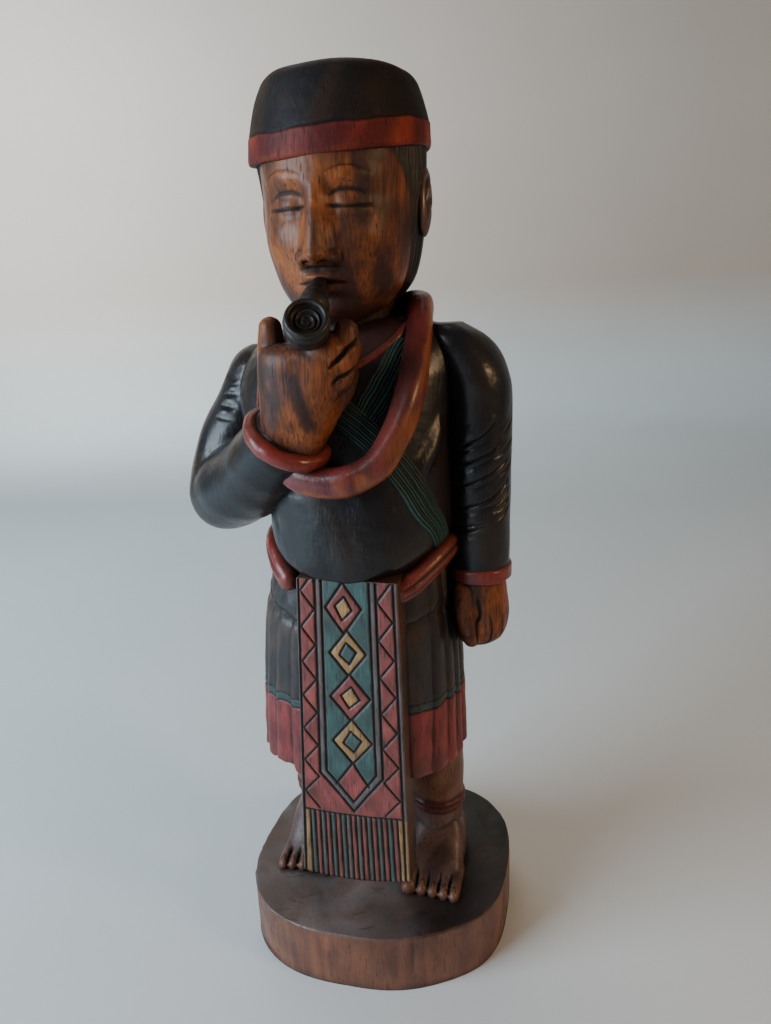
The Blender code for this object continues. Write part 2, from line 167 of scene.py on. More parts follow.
def tube(name, path, count, around, closed=False, flat=(1, 1), power=2.0):
    """A round or flattened tube through rows of x, y, z, radius, rounded at open ends."""
    rows = spline(path, count, closed)
    spots, radius = rows[:, :3], rows[:, 3]
    if closed:
        ahead = np.roll(spots, -1, 0) - np.roll(spots, 1, 0)
    else:
        ahead = np.gradient(spots, axis=0)
    ahead /= np.linalg.norm(ahead, axis=1)[:, None]
    if not closed:
        first, last = path[0][3], path[-1][3]
        cap = 1 - np.sin(np.linspace(0, math.pi / 2, CAP_RINGS + 1))[:-1]
        start = [spots[0] - ahead[0] * first * c for c in cap]
        end = [spots[-1] + ahead[-1] * last * c for c in cap[::-1]]
        size = np.sqrt(np.maximum(1 - cap ** 2, 0.004))
        spots = np.concatenate([start, spots, end])
        radius = np.concatenate([size * first, radius, size[::-1] * last])
        ahead = np.concatenate([np.repeat(ahead[:1], CAP_RINGS, 0), ahead,
                                np.repeat(ahead[-1:], CAP_RINGS, 0)])
    side = np.cross(ahead, (0, 0, 1))
    weak = np.linalg.norm(side, axis=1) < 0.2
    side[weak] = np.cross(ahead[weak], (1, 0, 0))
    if not closed and weak.any():
        side = np.cross(ahead, (0.3, 1, 0.1))
    side /= np.linalg.norm(side, axis=1)[:, None]
    over = np.cross(side, ahead)
    across, up = superellipse(2 * math.pi * np.arange(around) / around, power)
    wide, tall = flat
    rings = (spots[:, None] + radius[:, None, None]
             * (side[:, None] * across[None, :, None] * wide + over[:, None] * up[None, :, None] * tall))
    return skin(name, rings, closed)


def turned(name, profile, centre, axis, around, relief=None):
    """A lathe profile of radius and height, stood on a centre along an axis."""
    profile = np.array(profile, float)
    a = 2 * math.pi * np.arange(around)[None] / around
    radius = np.maximum(profile[:, :1], 0.05)
    high = profile[:, 1:] + (relief(a, radius) if relief else 0 * a)
    spin = np.array(Vector(axis).to_track_quat('Z', 'Y').to_matrix())
    local = np.stack([radius * np.cos(a), radius * np.sin(a), high], -1)
    return skin(name, local @ spin.T + np.array(centre))


def ball(name, centre, radii, turn=(0, 0, 0), around=40, rows=24):
    """A sphere stretched to three radii and turned by degrees about X, Y and Z."""
    lat = np.linspace(-math.pi / 2, math.pi / 2, rows + 2)[1:-1, None]
    lon = 2 * math.pi * np.arange(around)[None] / around
    unit = np.stack([np.cos(lat) * np.cos(lon), np.cos(lat) * np.sin(lon),
                     np.sin(lat) + 0 * lon], -1)
    spin = Matrix.Identity(3)
    for degrees, axis in zip(turn, 'XYZ'):
        spin = Matrix.Rotation(math.radians(degrees), 3, axis) @ spin
    return skin(name, (unit * radii) @ np.array(spin).T + centre)


def get(obj):
    flat = np.empty(len(obj.data.vertices) * 3, np.float32)
    obj.data.vertices.foreach_get("co", flat)
    return flat.reshape(-1, 3).astype(float) / MM - LIFT


def put(obj, co):
    obj.data.vertices.foreach_set("co", ((co + LIFT) * MM).astype(np.float32).ravel())
    obj.data.update()


def normals(obj):
    flat = np.empty(len(obj.data.vertices) * 3, np.float32)
    obj.data.vertex_normals.foreach_get("vector", flat)
    return flat.reshape(-1, 3).astype(float)


def mark(obj, name, values):
    colour = values.ndim == 2
    layer = obj.data.attributes.get(name)
    if layer is None:
        layer = obj.data.attributes.new(name, 'FLOAT_COLOR' if colour else 'FLOAT', 'POINT')
    if colour:
        values = np.concatenate([values, np.ones((len(values), 1))], 1)
    layer.data.foreach_set("color" if colour else "value", values.astype(np.float32).ravel())


def neighbours(obj):
    """A function giving each vertex the mean of what its neighbours hold."""
    pairs = np.empty(len(obj.data.edges) * 2, np.int32)
    obj.data.edges.foreach_get("vertices", pairs)
    a, b = pairs.reshape(-1, 2).T
    total = len(obj.data.vertices)
    count = np.bincount(a, minlength=total) + np.bincount(b, minlength=total)

    def mean(values):
        return np.stack([(np.bincount(a, column[b], total) + np.bincount(b, column[a], total))
                         / count for column in values.T], 1)
    return mean


def fuse(name, parts, voxel, rounds):
    """Parts welded into one surface by a voxel remesh, then rubbed smooth."""
    mesh = bmesh.new()
    for part in parts:
        mesh.from_mesh(part.data)
        bpy.data.objects.remove(part)
    data = bpy.data.meshes.new(name)
    mesh.to_mesh(data)
    mesh.free()
    rough = bpy.data.objects.new(name, data)
    bpy.context.scene.collection.objects.link(rough)
    weld = rough.modifiers.new("Weld", 'REMESH')
    weld.mode = 'VOXEL'
    weld.voxel_size = voxel * MM
    graph = bpy.context.evaluated_depsgraph_get()
    data = bpy.data.meshes.new_from_object(rough.evaluated_get(graph))
    bpy.data.objects.remove(rough)
    obj = bpy.data.objects.new(name, data)
    bpy.context.scene.collection.objects.link(obj)
    mean = neighbours(obj)
    co = get(obj)
    for step in range(rounds):
        co = co + (mean(co) - co) * (0.6 if step % 2 == 0 else -0.45)
    put(obj, co)
    return obj


class Relief:
    """Heights and stain gathered over a surface, then pressed into it."""

    def __init__(self, obj):
        self.obj = obj
        self.co = get(obj)
        self.normal = normals(obj)
        self.push = np.zeros(len(self.co))
        self.cut = np.zeros(len(self.co))

    def stroke(self, path, width, height, stain=0.0, fade=0.2, points=26, soft=False):
        """A groove, or with a positive height a ridge, along a path laid on the surface."""
        spots = spline(path, points)
        spots = np.array([self.co[np.argmin(((self.co - spot) ** 2).sum(1))] for spot in spots])
        for _ in range(3):
            spots[1:-1] = (spots[:-2] + 2 * spots[1:-1] + spots[2:]) / 4
        low, high = spots.min(0) - width, spots.max(0) + width
        pick = np.nonzero(((self.co > low) & (self.co < high)).all(1))[0]
        here = self.co[pick]
        gap = np.full(len(pick), 1e9)
        along = np.zeros(len(pick))
        for k, (a, b) in enumerate(zip(spots, spots[1:])):
            leg = b - a
            t = np.clip((here - a) @ leg / max(leg @ leg, 1e-9), 0, 1)
            off = np.linalg.norm(here - a - t[:, None] * leg, axis=1)
            closer = off < gap
            gap[closer] = off[closer]
            along[closer] = (k + t[closer]) / (points - 1)
        end = np.clip(np.minimum(along, 1 - along) / fade, 0, 1) if fade else 1.0
        reach = width * (0.4 + 0.6 * np.sqrt(end))
        t = np.clip(1 - gap / reach, 0, 1)
        shape = t * t * (3 - 2 * t) if soft else 1 - (1 - t) ** 1.6
        rise = height * shape * np.sqrt(end)
        if height > 0:
            self.push[pick] += rise
        else:
            self.push[pick] = np.minimum(self.push[pick], self.push[pick] * 0.3 + rise)
        self.cut[pick] = np.maximum(self.cut[pick], stain * smoothstep(t, 0.05, 0.55))

    def apply(self):
        put(self.obj, self.co + self.normal * self.push[:, None])
        mark(self.obj, "cut", self.cut)
        return self.obj


def uneven(relief, size, height, seed):
    """The slight unevenness of a surface cut by hand."""
    relief.push += height * waver(relief.co, size, seed)


def finish(obj, material):
    """Store how sharp the surface is, for worn edges, and how deep, for the shade painted into its hollows,
    and give the piece its body and finish.
    """
    mean = neighbours(obj)
    co = get(obj)
    blurred = co
    for _ in range(7):
        blurred = mean(blurred)
    edge = ((co - blurred) * normals(obj)).sum(1)
    edge = mean(edge[:, None])[:, 0]
    mark(obj, "worn", smoothstep(edge, 0.03, 0.28))
    # How deep each spot lies in a hollow, which the material darkens as painted shade
    mark(obj, "deep", smoothstep(-edge, 0.03, 0.30))
    for layer in ("cut", "shade"):
        if obj.data.attributes.get(layer) is None:
            mark(obj, layer, np.zeros(len(co)))
    for polygon in obj.data.polygons:
        polygon.use_smooth = True
    obj.data.materials.clear()
    obj.data.materials.append(material)
    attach(obj, "root")
    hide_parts(NODE)
    return obj


def finish_plain(obj, material, size, height, seed):
    """Finish a piece that has no relief but a slight unevenness."""
    r = Relief(obj)
    uneven(r, size, height, seed)
    return finish(r.apply(), material)


# Materials
WOOD_LIGHT = (0.30, 0.092, 0.028)
WOOD_DARK = (0.070, 0.021, 0.010)
# The dark of stain in the grain and in patches, and of the shade painted into hollows
STAIN_AND_SHADE = (0.010, 0.006, 0.005)
# The dark of soil and stains, and of shade painted under and between parts
SOIL_AND_SHADE = (0.028, 0.014, 0.013)
RED = (0.170, 0.036, 0.032)
GREEN = (0.026, 0.065, 0.061)
OCHRE = (0.27, 0.155, 0.058)
GREY = (0.072, 0.064, 0.066)
BLACK = (0.0070, 0.0080, 0.0105)


class Nodes:
    """Short calls for building one material's nodes."""

    def __init__(self, name):
        self.material = bpy.data.materials.new(name)
        self.material.use_nodes = True
        self.tree = self.material.node_tree
        self.shader = self.tree.nodes["Principled BSDF"]

    def add(self, kind, inputs, out=0, **props):
        node = self.tree.nodes.new(kind)
        for key, value in props.items():
            setattr(node, key, value)
        for key, value in inputs.items():
            self.set(node.inputs[key], value)
        return node.outputs[out]

    def set(self, socket, value):
        if isinstance(value, bpy.types.NodeSocket):
            self.tree.links.new(value, socket)
        else:
            if socket.type == 'RGBA' and len(value) == 3:
                value = (*value, 1)
            socket.default_value = value

    def where(self, scale):
        """Object coordinates in metres, times a scale for each axis."""
        spot = self.add("ShaderNodeTexCoord", {}, 3)
        return self.add("ShaderNodeMapping", {"Vector": spot, "Scale": scale})

    def noise(self, spot, scale, detail=3.0, rough=0.55):
        return self.add("ShaderNodeTexNoise", {"Vector": spot, "Scale": scale, "Detail": detail,
                                               "Roughness": rough})

    def attribute(self, name, colour=False):
        return self.add("ShaderNodeAttribute", {}, 0 if colour else 2, attribute_name=name)

    def step(self, value, low, high, start=0.0, end=1.0):
        return self.add("ShaderNodeMapRange", {0: value, 1: low, 2: high, 3: start, 4: end})

    def math(self, operation, *values):
        return self.add("ShaderNodeMath", dict(enumerate(values)), operation=operation)

    def mix(self, share, first, second, blend='MIX'):
        return self.add("ShaderNodeMix", {0: share, 6: first, 7: second}, 2,
                        data_type='RGBA', blend_type=blend)


def carved(name, paint=None, wear=0.5, rough=0.42, stain=0.0, grain=1.0, coat=0.2, level=0.5,
           under=(WOOD_DARK, WOOD_LIGHT)):
    """Carved wood, bare or under thin paint: grain, pores, worn edges, stains, and painted shade in its
    hollows.

    Without paint it is bare. The paint is one colour, or the name of the attribute that holds
    each vertex's colour.
    """
    n = Nodes(name)
    if isinstance(paint, str):
        paint = n.attribute(paint, colour=True)
    spot = n.where((1, 1, 1))
    streak = n.noise(n.where((1, 1, 0.035)), 620, 3)
    fibre = n.noise(n.where((1, 1, 0.05)), 1500, 2, 0.6)
    pores = n.step(n.noise(n.where((1, 1, 0.10)), 900, 2, 0.5), 0.59, 0.70)
    tone = n.noise(spot, 19, 4)
    patch = n.noise(n.where((1, 1, 0.5)), 30, 5, 0.62)
    wood = n.mix(n.step(n.math('ADD', n.math('MULTIPLY', tone, 0.6),
                               n.math('MULTIPLY', streak, 0.4)), 0.38, 0.62), *under)
    wood = n.mix(n.math('MULTIPLY', pores, 0.8 * grain), wood, STAIN_AND_SHADE)
    colour = wood
    if paint is not None:
        film = n.mix(n.step(tone, 0.35, 0.7, 0.0, 0.45), paint, STAIN_AND_SHADE)
        film = n.mix(n.math('MULTIPLY', n.step(fibre, 0.40, 0.62), 0.40 * grain), film,
                     n.mix(1.0, paint, (1.8, 1.8, 1.8), 'MULTIPLY'))
        film = n.mix(n.math('MULTIPLY', pores, 0.7 * grain), film, STAIN_AND_SHADE)
        edge = n.math('MULTIPLY', n.attribute("worn"), n.step(patch, 0.36, 0.58))
        rubbed = n.step(patch, 0.58, 0.72, 0.0, 0.8)
        gone = n.math('MULTIPLY', n.math('MAXIMUM', edge, rubbed), wear)
        colour = n.mix(gone, film, wood)
    # Darkened towards the soil colour where the 'shade' attribute is set: real soil and stains, and painted
    # shade that some pieces mark under or between parts
    soil_and_shade = n.math('MULTIPLY', n.attribute("shade"), n.step(patch, 0.30, 0.52, 0.35, 1.0))
    if stain:
        soil_and_shade = n.math('MAXIMUM', soil_and_shade, n.step(patch, 0.48, 0.62, 0.0, stain))
    colour = n.mix(soil_and_shade, colour, SOIL_AND_SHADE)
    # Painted shade: hollows found by ambient occlusion and by the 'deep' attribute darken towards the dark
    # stain colour
    crevice = n.add("ShaderNodeAmbientOcclusion", {"Distance": 0.012}, 1, samples=6)
    painted_hollow_shade = n.math('MAXIMUM', n.step(crevice, 0.82, 0.30, 0.0, 0.8),
                  n.math('MULTIPLY', n.attribute("deep"), 0.75))
    colour = n.mix(painted_hollow_shade, colour, STAIN_AND_SHADE)
    colour = n.mix(n.attribute("cut"), colour, (0.005, 0.004, 0.004))
    n.set(n.shader.inputs["Base Color"], colour)
    gloss = n.math('ADD', n.step(patch, 0.3, 0.7, rough - 0.08, rough + 0.08),
                   n.math('MULTIPLY', pores, 0.15))
    hollow = n.math('MAXIMUM', painted_hollow_shade, n.attribute("cut"))
    gloss = n.math('MAXIMUM', gloss, n.math('MULTIPLY', hollow, 0.85))
    n.set(n.shader.inputs["Roughness"], gloss)
    n.set(n.shader.inputs["Specular IOR Level"], level)
    n.set(n.shader.inputs["Coat Weight"], coat)
    n.set(n.shader.inputs["Coat Roughness"], 0.22)
    height = n.math('SUBTRACT', n.math('ADD', n.math('MULTIPLY', streak, 0.55),
                                       n.math('MULTIPLY', fibre, 0.45)),
                    n.math('MULTIPLY', pores, 0.6))
    hand = n.noise(spot, 95, 2)
    bump = n.add("ShaderNodeBump", {"Strength": 0.25 * grain, "Distance": 0.0005, "Height": height})
    bump = n.add("ShaderNodeBump", {"Strength": 0.3, "Distance": 0.002, "Height": hand,
                                    "Normal": bump})
    n.set(n.shader.inputs["Normal"], bump)
    return n.material


WORN_BLACK = ((0.018, 0.009, 0.006), (0.060, 0.027, 0.012))
WORN_SKIRT = ((0.035, 0.015, 0.009), (0.15, 0.060, 0.024))
PLAIN_WOOD = carved("bare wood", stain=0.9, coat=0.0, level=0.22,
                    under=((0.060, 0.017, 0.008), (0.29, 0.088, 0.026)))
EAR_WOOD = carved("dark bare wood", (0.045, 0.017, 0.010), wear=0.8)
RED_PAINT = carved("red paint", (0.175, 0.022, 0.020), wear=0.30, rough=0.34, stain=0.4, grain=0.8,
                   coat=0.04, level=0.38)
PIPE = carved("pipe black", (0.009, 0.008, 0.007), wear=0.20, rough=0.46, coat=0.0, level=0.36,
              under=WORN_BLACK)
NECK_WOOD = carved("neck wood", (0.026, 0.011, 0.009), wear=0.2, rough=0.60, grain=0.9, coat=0.0,
                   level=0.15, under=WORN_BLACK)
HAIR = carved("hair black", (0.008, 0.006, 0.005), wear=0.4, rough=0.45, grain=0.9, coat=0.0,
              level=0.4, under=WORN_BLACK)
JACKET = carved("jacket black", "paint", wear=0.08, rough=0.32, grain=0.7, coat=0.0, level=0.34,
                under=WORN_BLACK)
HAT_PAINT = carved("hat paint", "paint", wear=0.22, rough=0.58, grain=0.9, coat=0.0, level=0.14)
BASE_WOOD = carved("base wood", "paint", wear=0.30, stain=0.2, grain=0.55, coat=0.05, level=0.45)
SKIRT_PAINT = carved("skirt paint", "paint", wear=0.35, rough=0.40, grain=0.9, coat=0.0, level=0.38,
                     under=WORN_SKIRT)
SASH_PAINT = carved("sash paint", "paint", wear=0.06, rough=0.44, grain=0.6, coat=0.0, level=0.26)
RING_PAINT = carved("ring paint", "paint", wear=0.20, rough=0.30, stain=0.3, grain=0.7, coat=0.08,
                    level=0.36)
LEG_PAINT = carved("leg paint", "paint", wear=0.40, rough=0.46, stain=0.5, coat=0.05, level=0.32)
PATTERN = carved("painted pattern", "paint", wear=0.25, rough=0.46, coat=0.05, level=0.45)


# The base
def make_base():
    around = 300
    angle = 2 * math.pi * np.arange(around) / around
    across, along = superellipse(angle, BASE_POWER)
    trimmed, span = math.radians(-55), math.radians(32)  # where the outline is cut in, and how far
    off = (angle - trimmed + math.pi) % (2 * math.pi) - math.pi
    trim = 1 - 0.085 * np.exp(-(off / span) ** 2)
    bevel = 1.6
    x, y = across * BASE_WIDTH / 2 * trim, along * BASE_DEPTH / 2 * trim * 0.997
    rows = [(BASE_LOW, 1.2), (BASE_LOW + 0.4, 0.5), (BASE_LOW + 1.5, 0.1)]
    rows += [(z, 0) for z in np.linspace(-37, 4.2, 26)]
    rows += [(BASE_TOP - bevel * (1 - math.sin(a)), bevel * (1 - math.cos(a)))
             for a in np.linspace(0.15, math.pi / 2, 7)]
    rings = [np.stack([x * (1 - 2 * inset / BASE_WIDTH), y * (1 - 2 * inset / BASE_DEPTH),
                       np.full(around, z)], -1) for z, inset in rows]
    lid = 1 - 2 * bevel / BASE_WIDTH
    rings += [np.stack([x * lid * s, y * lid * s, np.full(around, float(BASE_TOP))], -1)
              for s in np.append(np.linspace(0.985, 0.5, 32), np.linspace(0.46, 0.02, 6))]
    obj = skin("base", np.array(rings))
    r = Relief(obj)
    side = (r.co[:, 2] > -39) & (np.abs(r.normal[:, 2]) < 0.7)
    flute = np.abs(waver(r.co * (1, 1, 0.25), 30, 3)) + 0.5 * np.abs(waver(r.co * (1, 1, 0.12), 8, 4))
    r.push -= side * 0.7 * flute
    r.push -= (r.co[:, 2] > 4) * 0.4 * np.clip(waver(r.co, 24, 8), 0, 1)
    nibble = np.clip(waver(r.co * (1, 1, 0), 34, 9), 0, 1) * smoothstep(r.co[:, 2], -30, -40)
    r.push -= side * 1.6 * nibble
    top = r.co[:, 2] > 5.5
    r.push -= top * 0.5 * np.abs(waver(r.co, 45, 5))
    rng = np.random.default_rng(11)
    for at in (-150, -118, -97, -74, -52, -20, 35, 80, 130, 165):
        a = math.radians(at + rng.uniform(-5, 5))
        c, s = superellipse(a, BASE_POWER)
        low, high = rng.uniform(-38, -24), rng.uniform(-12, 1)
        sway = rng.uniform(-2, 2, 3)
        r.stroke([(c * 98 + w * s, s * 92 - w * c, z)
                  for w, z in zip(sway, (low, (low + high) / 2, high))], 0.8, -0.6, 0.4, 0.5)
    for _ in range(16):
        x0, y0, turn = rng.uniform(-70, 80), rng.uniform(-85, -40), rng.uniform(-0.5, 0.9)
        long = rng.uniform(5, 16)
        r.stroke([(x0, y0, BASE_TOP),
                  (x0 + long * math.cos(turn), y0 + long * math.sin(turn), BASE_TOP)],
                 0.8, -0.4, 0.5, 0.4, 8)
    r.push = np.minimum(r.push, 0)
    # The top's tone varies in random patches, with painted light over it: paler towards the left and darker
    # towards the right
    shade = np.clip(0.5 + 0.25 * waver(r.co, 38, 12), 0, 1)[:, None]
    shade = shade * (1.15 - smoothstep(r.co[:, :1], -10, 70)) - 0.35 * smoothstep(r.co[:, :1], 0, 75)
    ruddy = smoothstep(waver(r.co, 26, 16) - 0.012 * r.co[:, 0], -0.1, 1.2)[:, None]
    lid_paint_and_light = blend(shade, (0.044, 0.034, 0.033), (0.190, 0.158, 0.155))
    lid_paint_and_light = blend(0.55 * ruddy, lid_paint_and_light, (0.100, 0.058, 0.042))
    streak = smoothstep(0.6 * waver(r.co * (1, 1, 0.2), 9, 14)
                        + 0.7 * waver(r.co * (1, 1, 0.6), 34, 15), -1.3, 1.2)[:, None]
    wall_paint = blend(streak, (0.090, 0.034, 0.023), (0.200, 0.076, 0.038))
    up = smoothstep(r.co[:, 2], 3.6, 5.6)[:, None]
    mark(obj, "paint", np.maximum(blend(up, wall_paint, lid_paint_and_light), 0.006))
    finish(r.apply(), BASE_WOOD)


make_base()


# The skirt, belt and apron
def waist_rise(x):
    return WAIST_RISE * np.minimum(1.2, (x / 60) ** 2)


def skirt_lean(x, z):
    return waist_rise(x) * np.clip((z - 200) / 60, 0, 1)


def pleat_phase(angle, z):
    """Where a spot lies between one pleat's valley, 0, and the next, 1."""
    lean = 0.22 * np.sin(angle * 5 + 1) + 0.0025 * (z - 117) * np.sin(angle * 3)
    return (angle * PLEATS / (2 * math.pi) + lean) % 1


def pleat(angle, z):
    """Rounded folds between narrow valleys, flatter above the cut line round the skirt."""
    t = pleat_phase(angle, z)
    fold = np.sin(math.pi * np.clip(t * 1.06 - 0.03, 0, 1)) ** 0.6 + 0.25 * np.sin(2 * math.pi * t)
    low = smoothstep(z, 228, 200) * (0.55 + 0.45 * smoothstep(z, 180, 120))
    depth = 1.0 + 2.1 * low * (0.75 + 0.25 * np.sin(angle * 7 + 0.5))
    return depth * (fold - 0.6) - 0.9 * smoothstep(np.abs(z - 226), 5, 0)


SKIRT_ROWS = [(117, -7.5, BODY_Y, 74.5, 61.5), (118.5, -7.5, BODY_Y, 74.6, 61.6),
              (150, -7.1, BODY_Y, 73.5, 61.2), (180, -6.5, BODY_Y, 72, 60.8),
              (220, -5, BODY_Y, 68, 59.6), (262, 1, BODY_Y, 57, 56)]


def make_skirt():
    def ragged(x, z):
        hem = 1.5 * np.sin(x * 0.21) + 0.8 * np.sin(x * 0.53 + 2)
        return skirt_lean(x, z) + (hem + 1.5) * smoothstep(z, 132, 117)
    bands = ((117, 160, 16), (163, 178, 21), (181, 220, 14), (222, 236, 14), (239, 262, 8))
    heights = np.concatenate([np.linspace(*band) for band in bands])
    shares = (heights - heights[0]) / (heights[-1] - heights[0])
    obj = upright("skirt", SKIRT_ROWS, PLEATS * 18, shares, 2.15, pleat, ragged)
    r = Relief(obj)
    co = r.co
    angle = np.arctan2((co[:, 1] - BODY_Y) / 60.5, (co[:, 0] + 6) / 71)
    step = pleat_phase(angle, co[:, 2])
    level = (co[:, 2] - skirt_lean(co[:, 0], co[:, 2]) - 2.2 * np.sin(math.pi * step)
             - 0.9 * np.sin(angle * 11))
    paint = blend(blotches(co, 22, 17, -0.1, 1.0, 0.4), (0.013, 0.012, 0.013), (0.042, 0.024, 0.014))
    green_top, red_top = 172.5, 166.5
    paint[level < green_top] = (0.012, 0.038, 0.034)
    red = blend(blotches(co, 12, 18, -0.8, 0.9, 0.3), (0.12, 0.013, 0.015), (0.21, 0.026, 0.024))
    paint = np.where(level[:, None] < red_top, red, paint)
    for line, width, depth in ((226, 0.9, 1.1), (green_top, 0.7, 0.6), (red_top, 0.9, 1.0)):
        t = np.clip(1 - np.abs(level - line) / width, 0, 1)
        r.push -= depth * t
        r.cut = np.maximum(r.cut, 0.9 * smoothstep(t, 0, 0.5))
    mark(obj, "paint", paint)
    uneven(r, 11, 0.18, 19)
    return finish(r.apply(), SKIRT_PAINT)


make_skirt()


def make_belt():
    """A two-stranded sash round the waist, open where the apron covers it."""
    path = []
    for degrees in range(-56, 238, 7):
        across, along = superellipse(math.radians(degrees), 2.15)
        x = 61.5 * across
        drop = 7 * (1 - smoothstep(abs(x), 36, 66 if x > 0 else 54)) * (along < 0)
        path.append((x, BODY_Y + 62.5 * along, 257.5 + waist_rise(x) - drop, 8.2))
    obj = tube("belt", path, 240, 36, flat=(0.86, 1), power=2.3)
    r = Relief(obj)
    middle = [(x + 7 * c, y + 7 * s, z + 0.6 * math.sin(k))
              for k, (x, y, z, _) in enumerate(path)
              for c, s in [np.array((x, y - BODY_Y)) / math.hypot(x, y - BODY_Y)]]
    r.stroke([(x, y, z + 1.8) for x, y, z in middle], 1.3, -1.7, 0.95, 0.03, 140)
    for end in (middle[:7], middle[-7:]):
        r.stroke([(x, y, z - 4.3) for x, y, z in end], 0.9, -0.8, 0.8, 0.2, 60)
    uneven(r, 18, 0.25, 21)
    return finish(r.apply(), RED_PAINT)


make_belt()

# Heights and depths are in millimetres, and places across are shares of the half width
APRON_TOP = 268
APRON_HEM = 42
APRON_FRONT = (-76.4, -73)
APRON_BACK = -52
APRON_MIDDLE = (4.3, -1.5)
APRON_HALF = (32.2, 39)
FRINGE_TOP = 95
ZIGZAGS = 7
DIAMONDS = ((-0.05, 249, 0.36, 17.5), (0.01, 217.8, 0.36, 16), (0.03, 185.8, 0.39, 17),
            (0.04, 152.5, 0.38, 17))
FRINGE = (OCHRE, GREEN, RED, GREY, RED, GREEN, RED, GREEN, GREY, RED, GREY, RED, GREEN, RED, GREEN,
          RED, GREEN, RED, OCHRE)
FRINGE_DRIFT = 0.03
LEFT, RIGHT = -0.61, 0.60
POINT = 0.03  # across, where the lower ends of the V lines and the peak under them lie
OUTER_KNEE, OUTER_POINT = 126, 98
INNER_KNEE, INNER_POINT = 128, 105
PEAK, PEAK_FOOT = 136, 118
INNER_STEP = 0.13


def taper(ends, share):
    return ends[0] + (ends[1] - ends[0]) * share


def fringe_lean(across, up):
    """Where a fringe line that starts at one place has got to lower down."""
    return across + FRINGE_DRIFT * (FRINGE_TOP - up) / (FRINGE_TOP - APRON_HEM)


def apron_lines():
    """Incised lines as (path across and up, half width)."""
    lines = []
    above = APRON_TOP + 3
    for inset, knee, tip, width in ((0, OUTER_KNEE, OUTER_POINT, 0.95),
                                    (INNER_STEP, INNER_KNEE, INNER_POINT, 0.85)):
        left, right = LEFT + inset, RIGHT - inset
        lines.append(([(left, above), (left, knee), (POINT, tip), (right, knee), (right, above)], width))
    for side, strip, rise in ((-1, LEFT, 0), (1, RIGHT, 9)):
        inner, outer = strip + side * 0.02, side * 0.91
        lines.append(([(side * 0.94, above), (side * 0.945, FRINGE_TOP - 52)], 0.95))
        zigzag = []
        for turn in range(2 * ZIGZAGS + 1):
            z = 272 + rise - turn * (272 + rise - FRINGE_TOP - 2) / (2 * ZIGZAGS)
            zigzag.append((inner if turn % 2 == 0 else outer, z))
        lines.append((zigzag, 0.72))
    lines.append(([(-0.94, FRINGE_TOP), (-0.3, FRINGE_TOP - 0.6), (0.94, FRINGE_TOP + 0.3)], 0.9))
    for stripe in range(1, len(FRINGE)):
        across = -0.93 + 1.86 * stripe / len(FRINGE)
        lines.append(([(across, FRINGE_TOP), (fringe_lean(across, 70), 70),
                       (fringe_lean(across, APRON_HEM - 4), APRON_HEM - 4)], 0.75))
    lines.append(([(-0.30, PEAK_FOOT), (POINT, PEAK), (0.33, PEAK_FOOT)], 0.8))
    for number, (middle, z, half, tall) in enumerate(DIAMONDS):
        for share, width in ((1, 0.85), (0.47, 0.75)):
            turn = 0.16 * (-1) ** number if share < 1 else 0
            corners = ((-half, turn * tall), (turn * half, tall), (half, -turn * tall),
                       (-turn * half, -tall), (-half, turn * tall))
            lines.append(([(middle + a * share, z + b * share) for a, b in corners], width))
    return lines


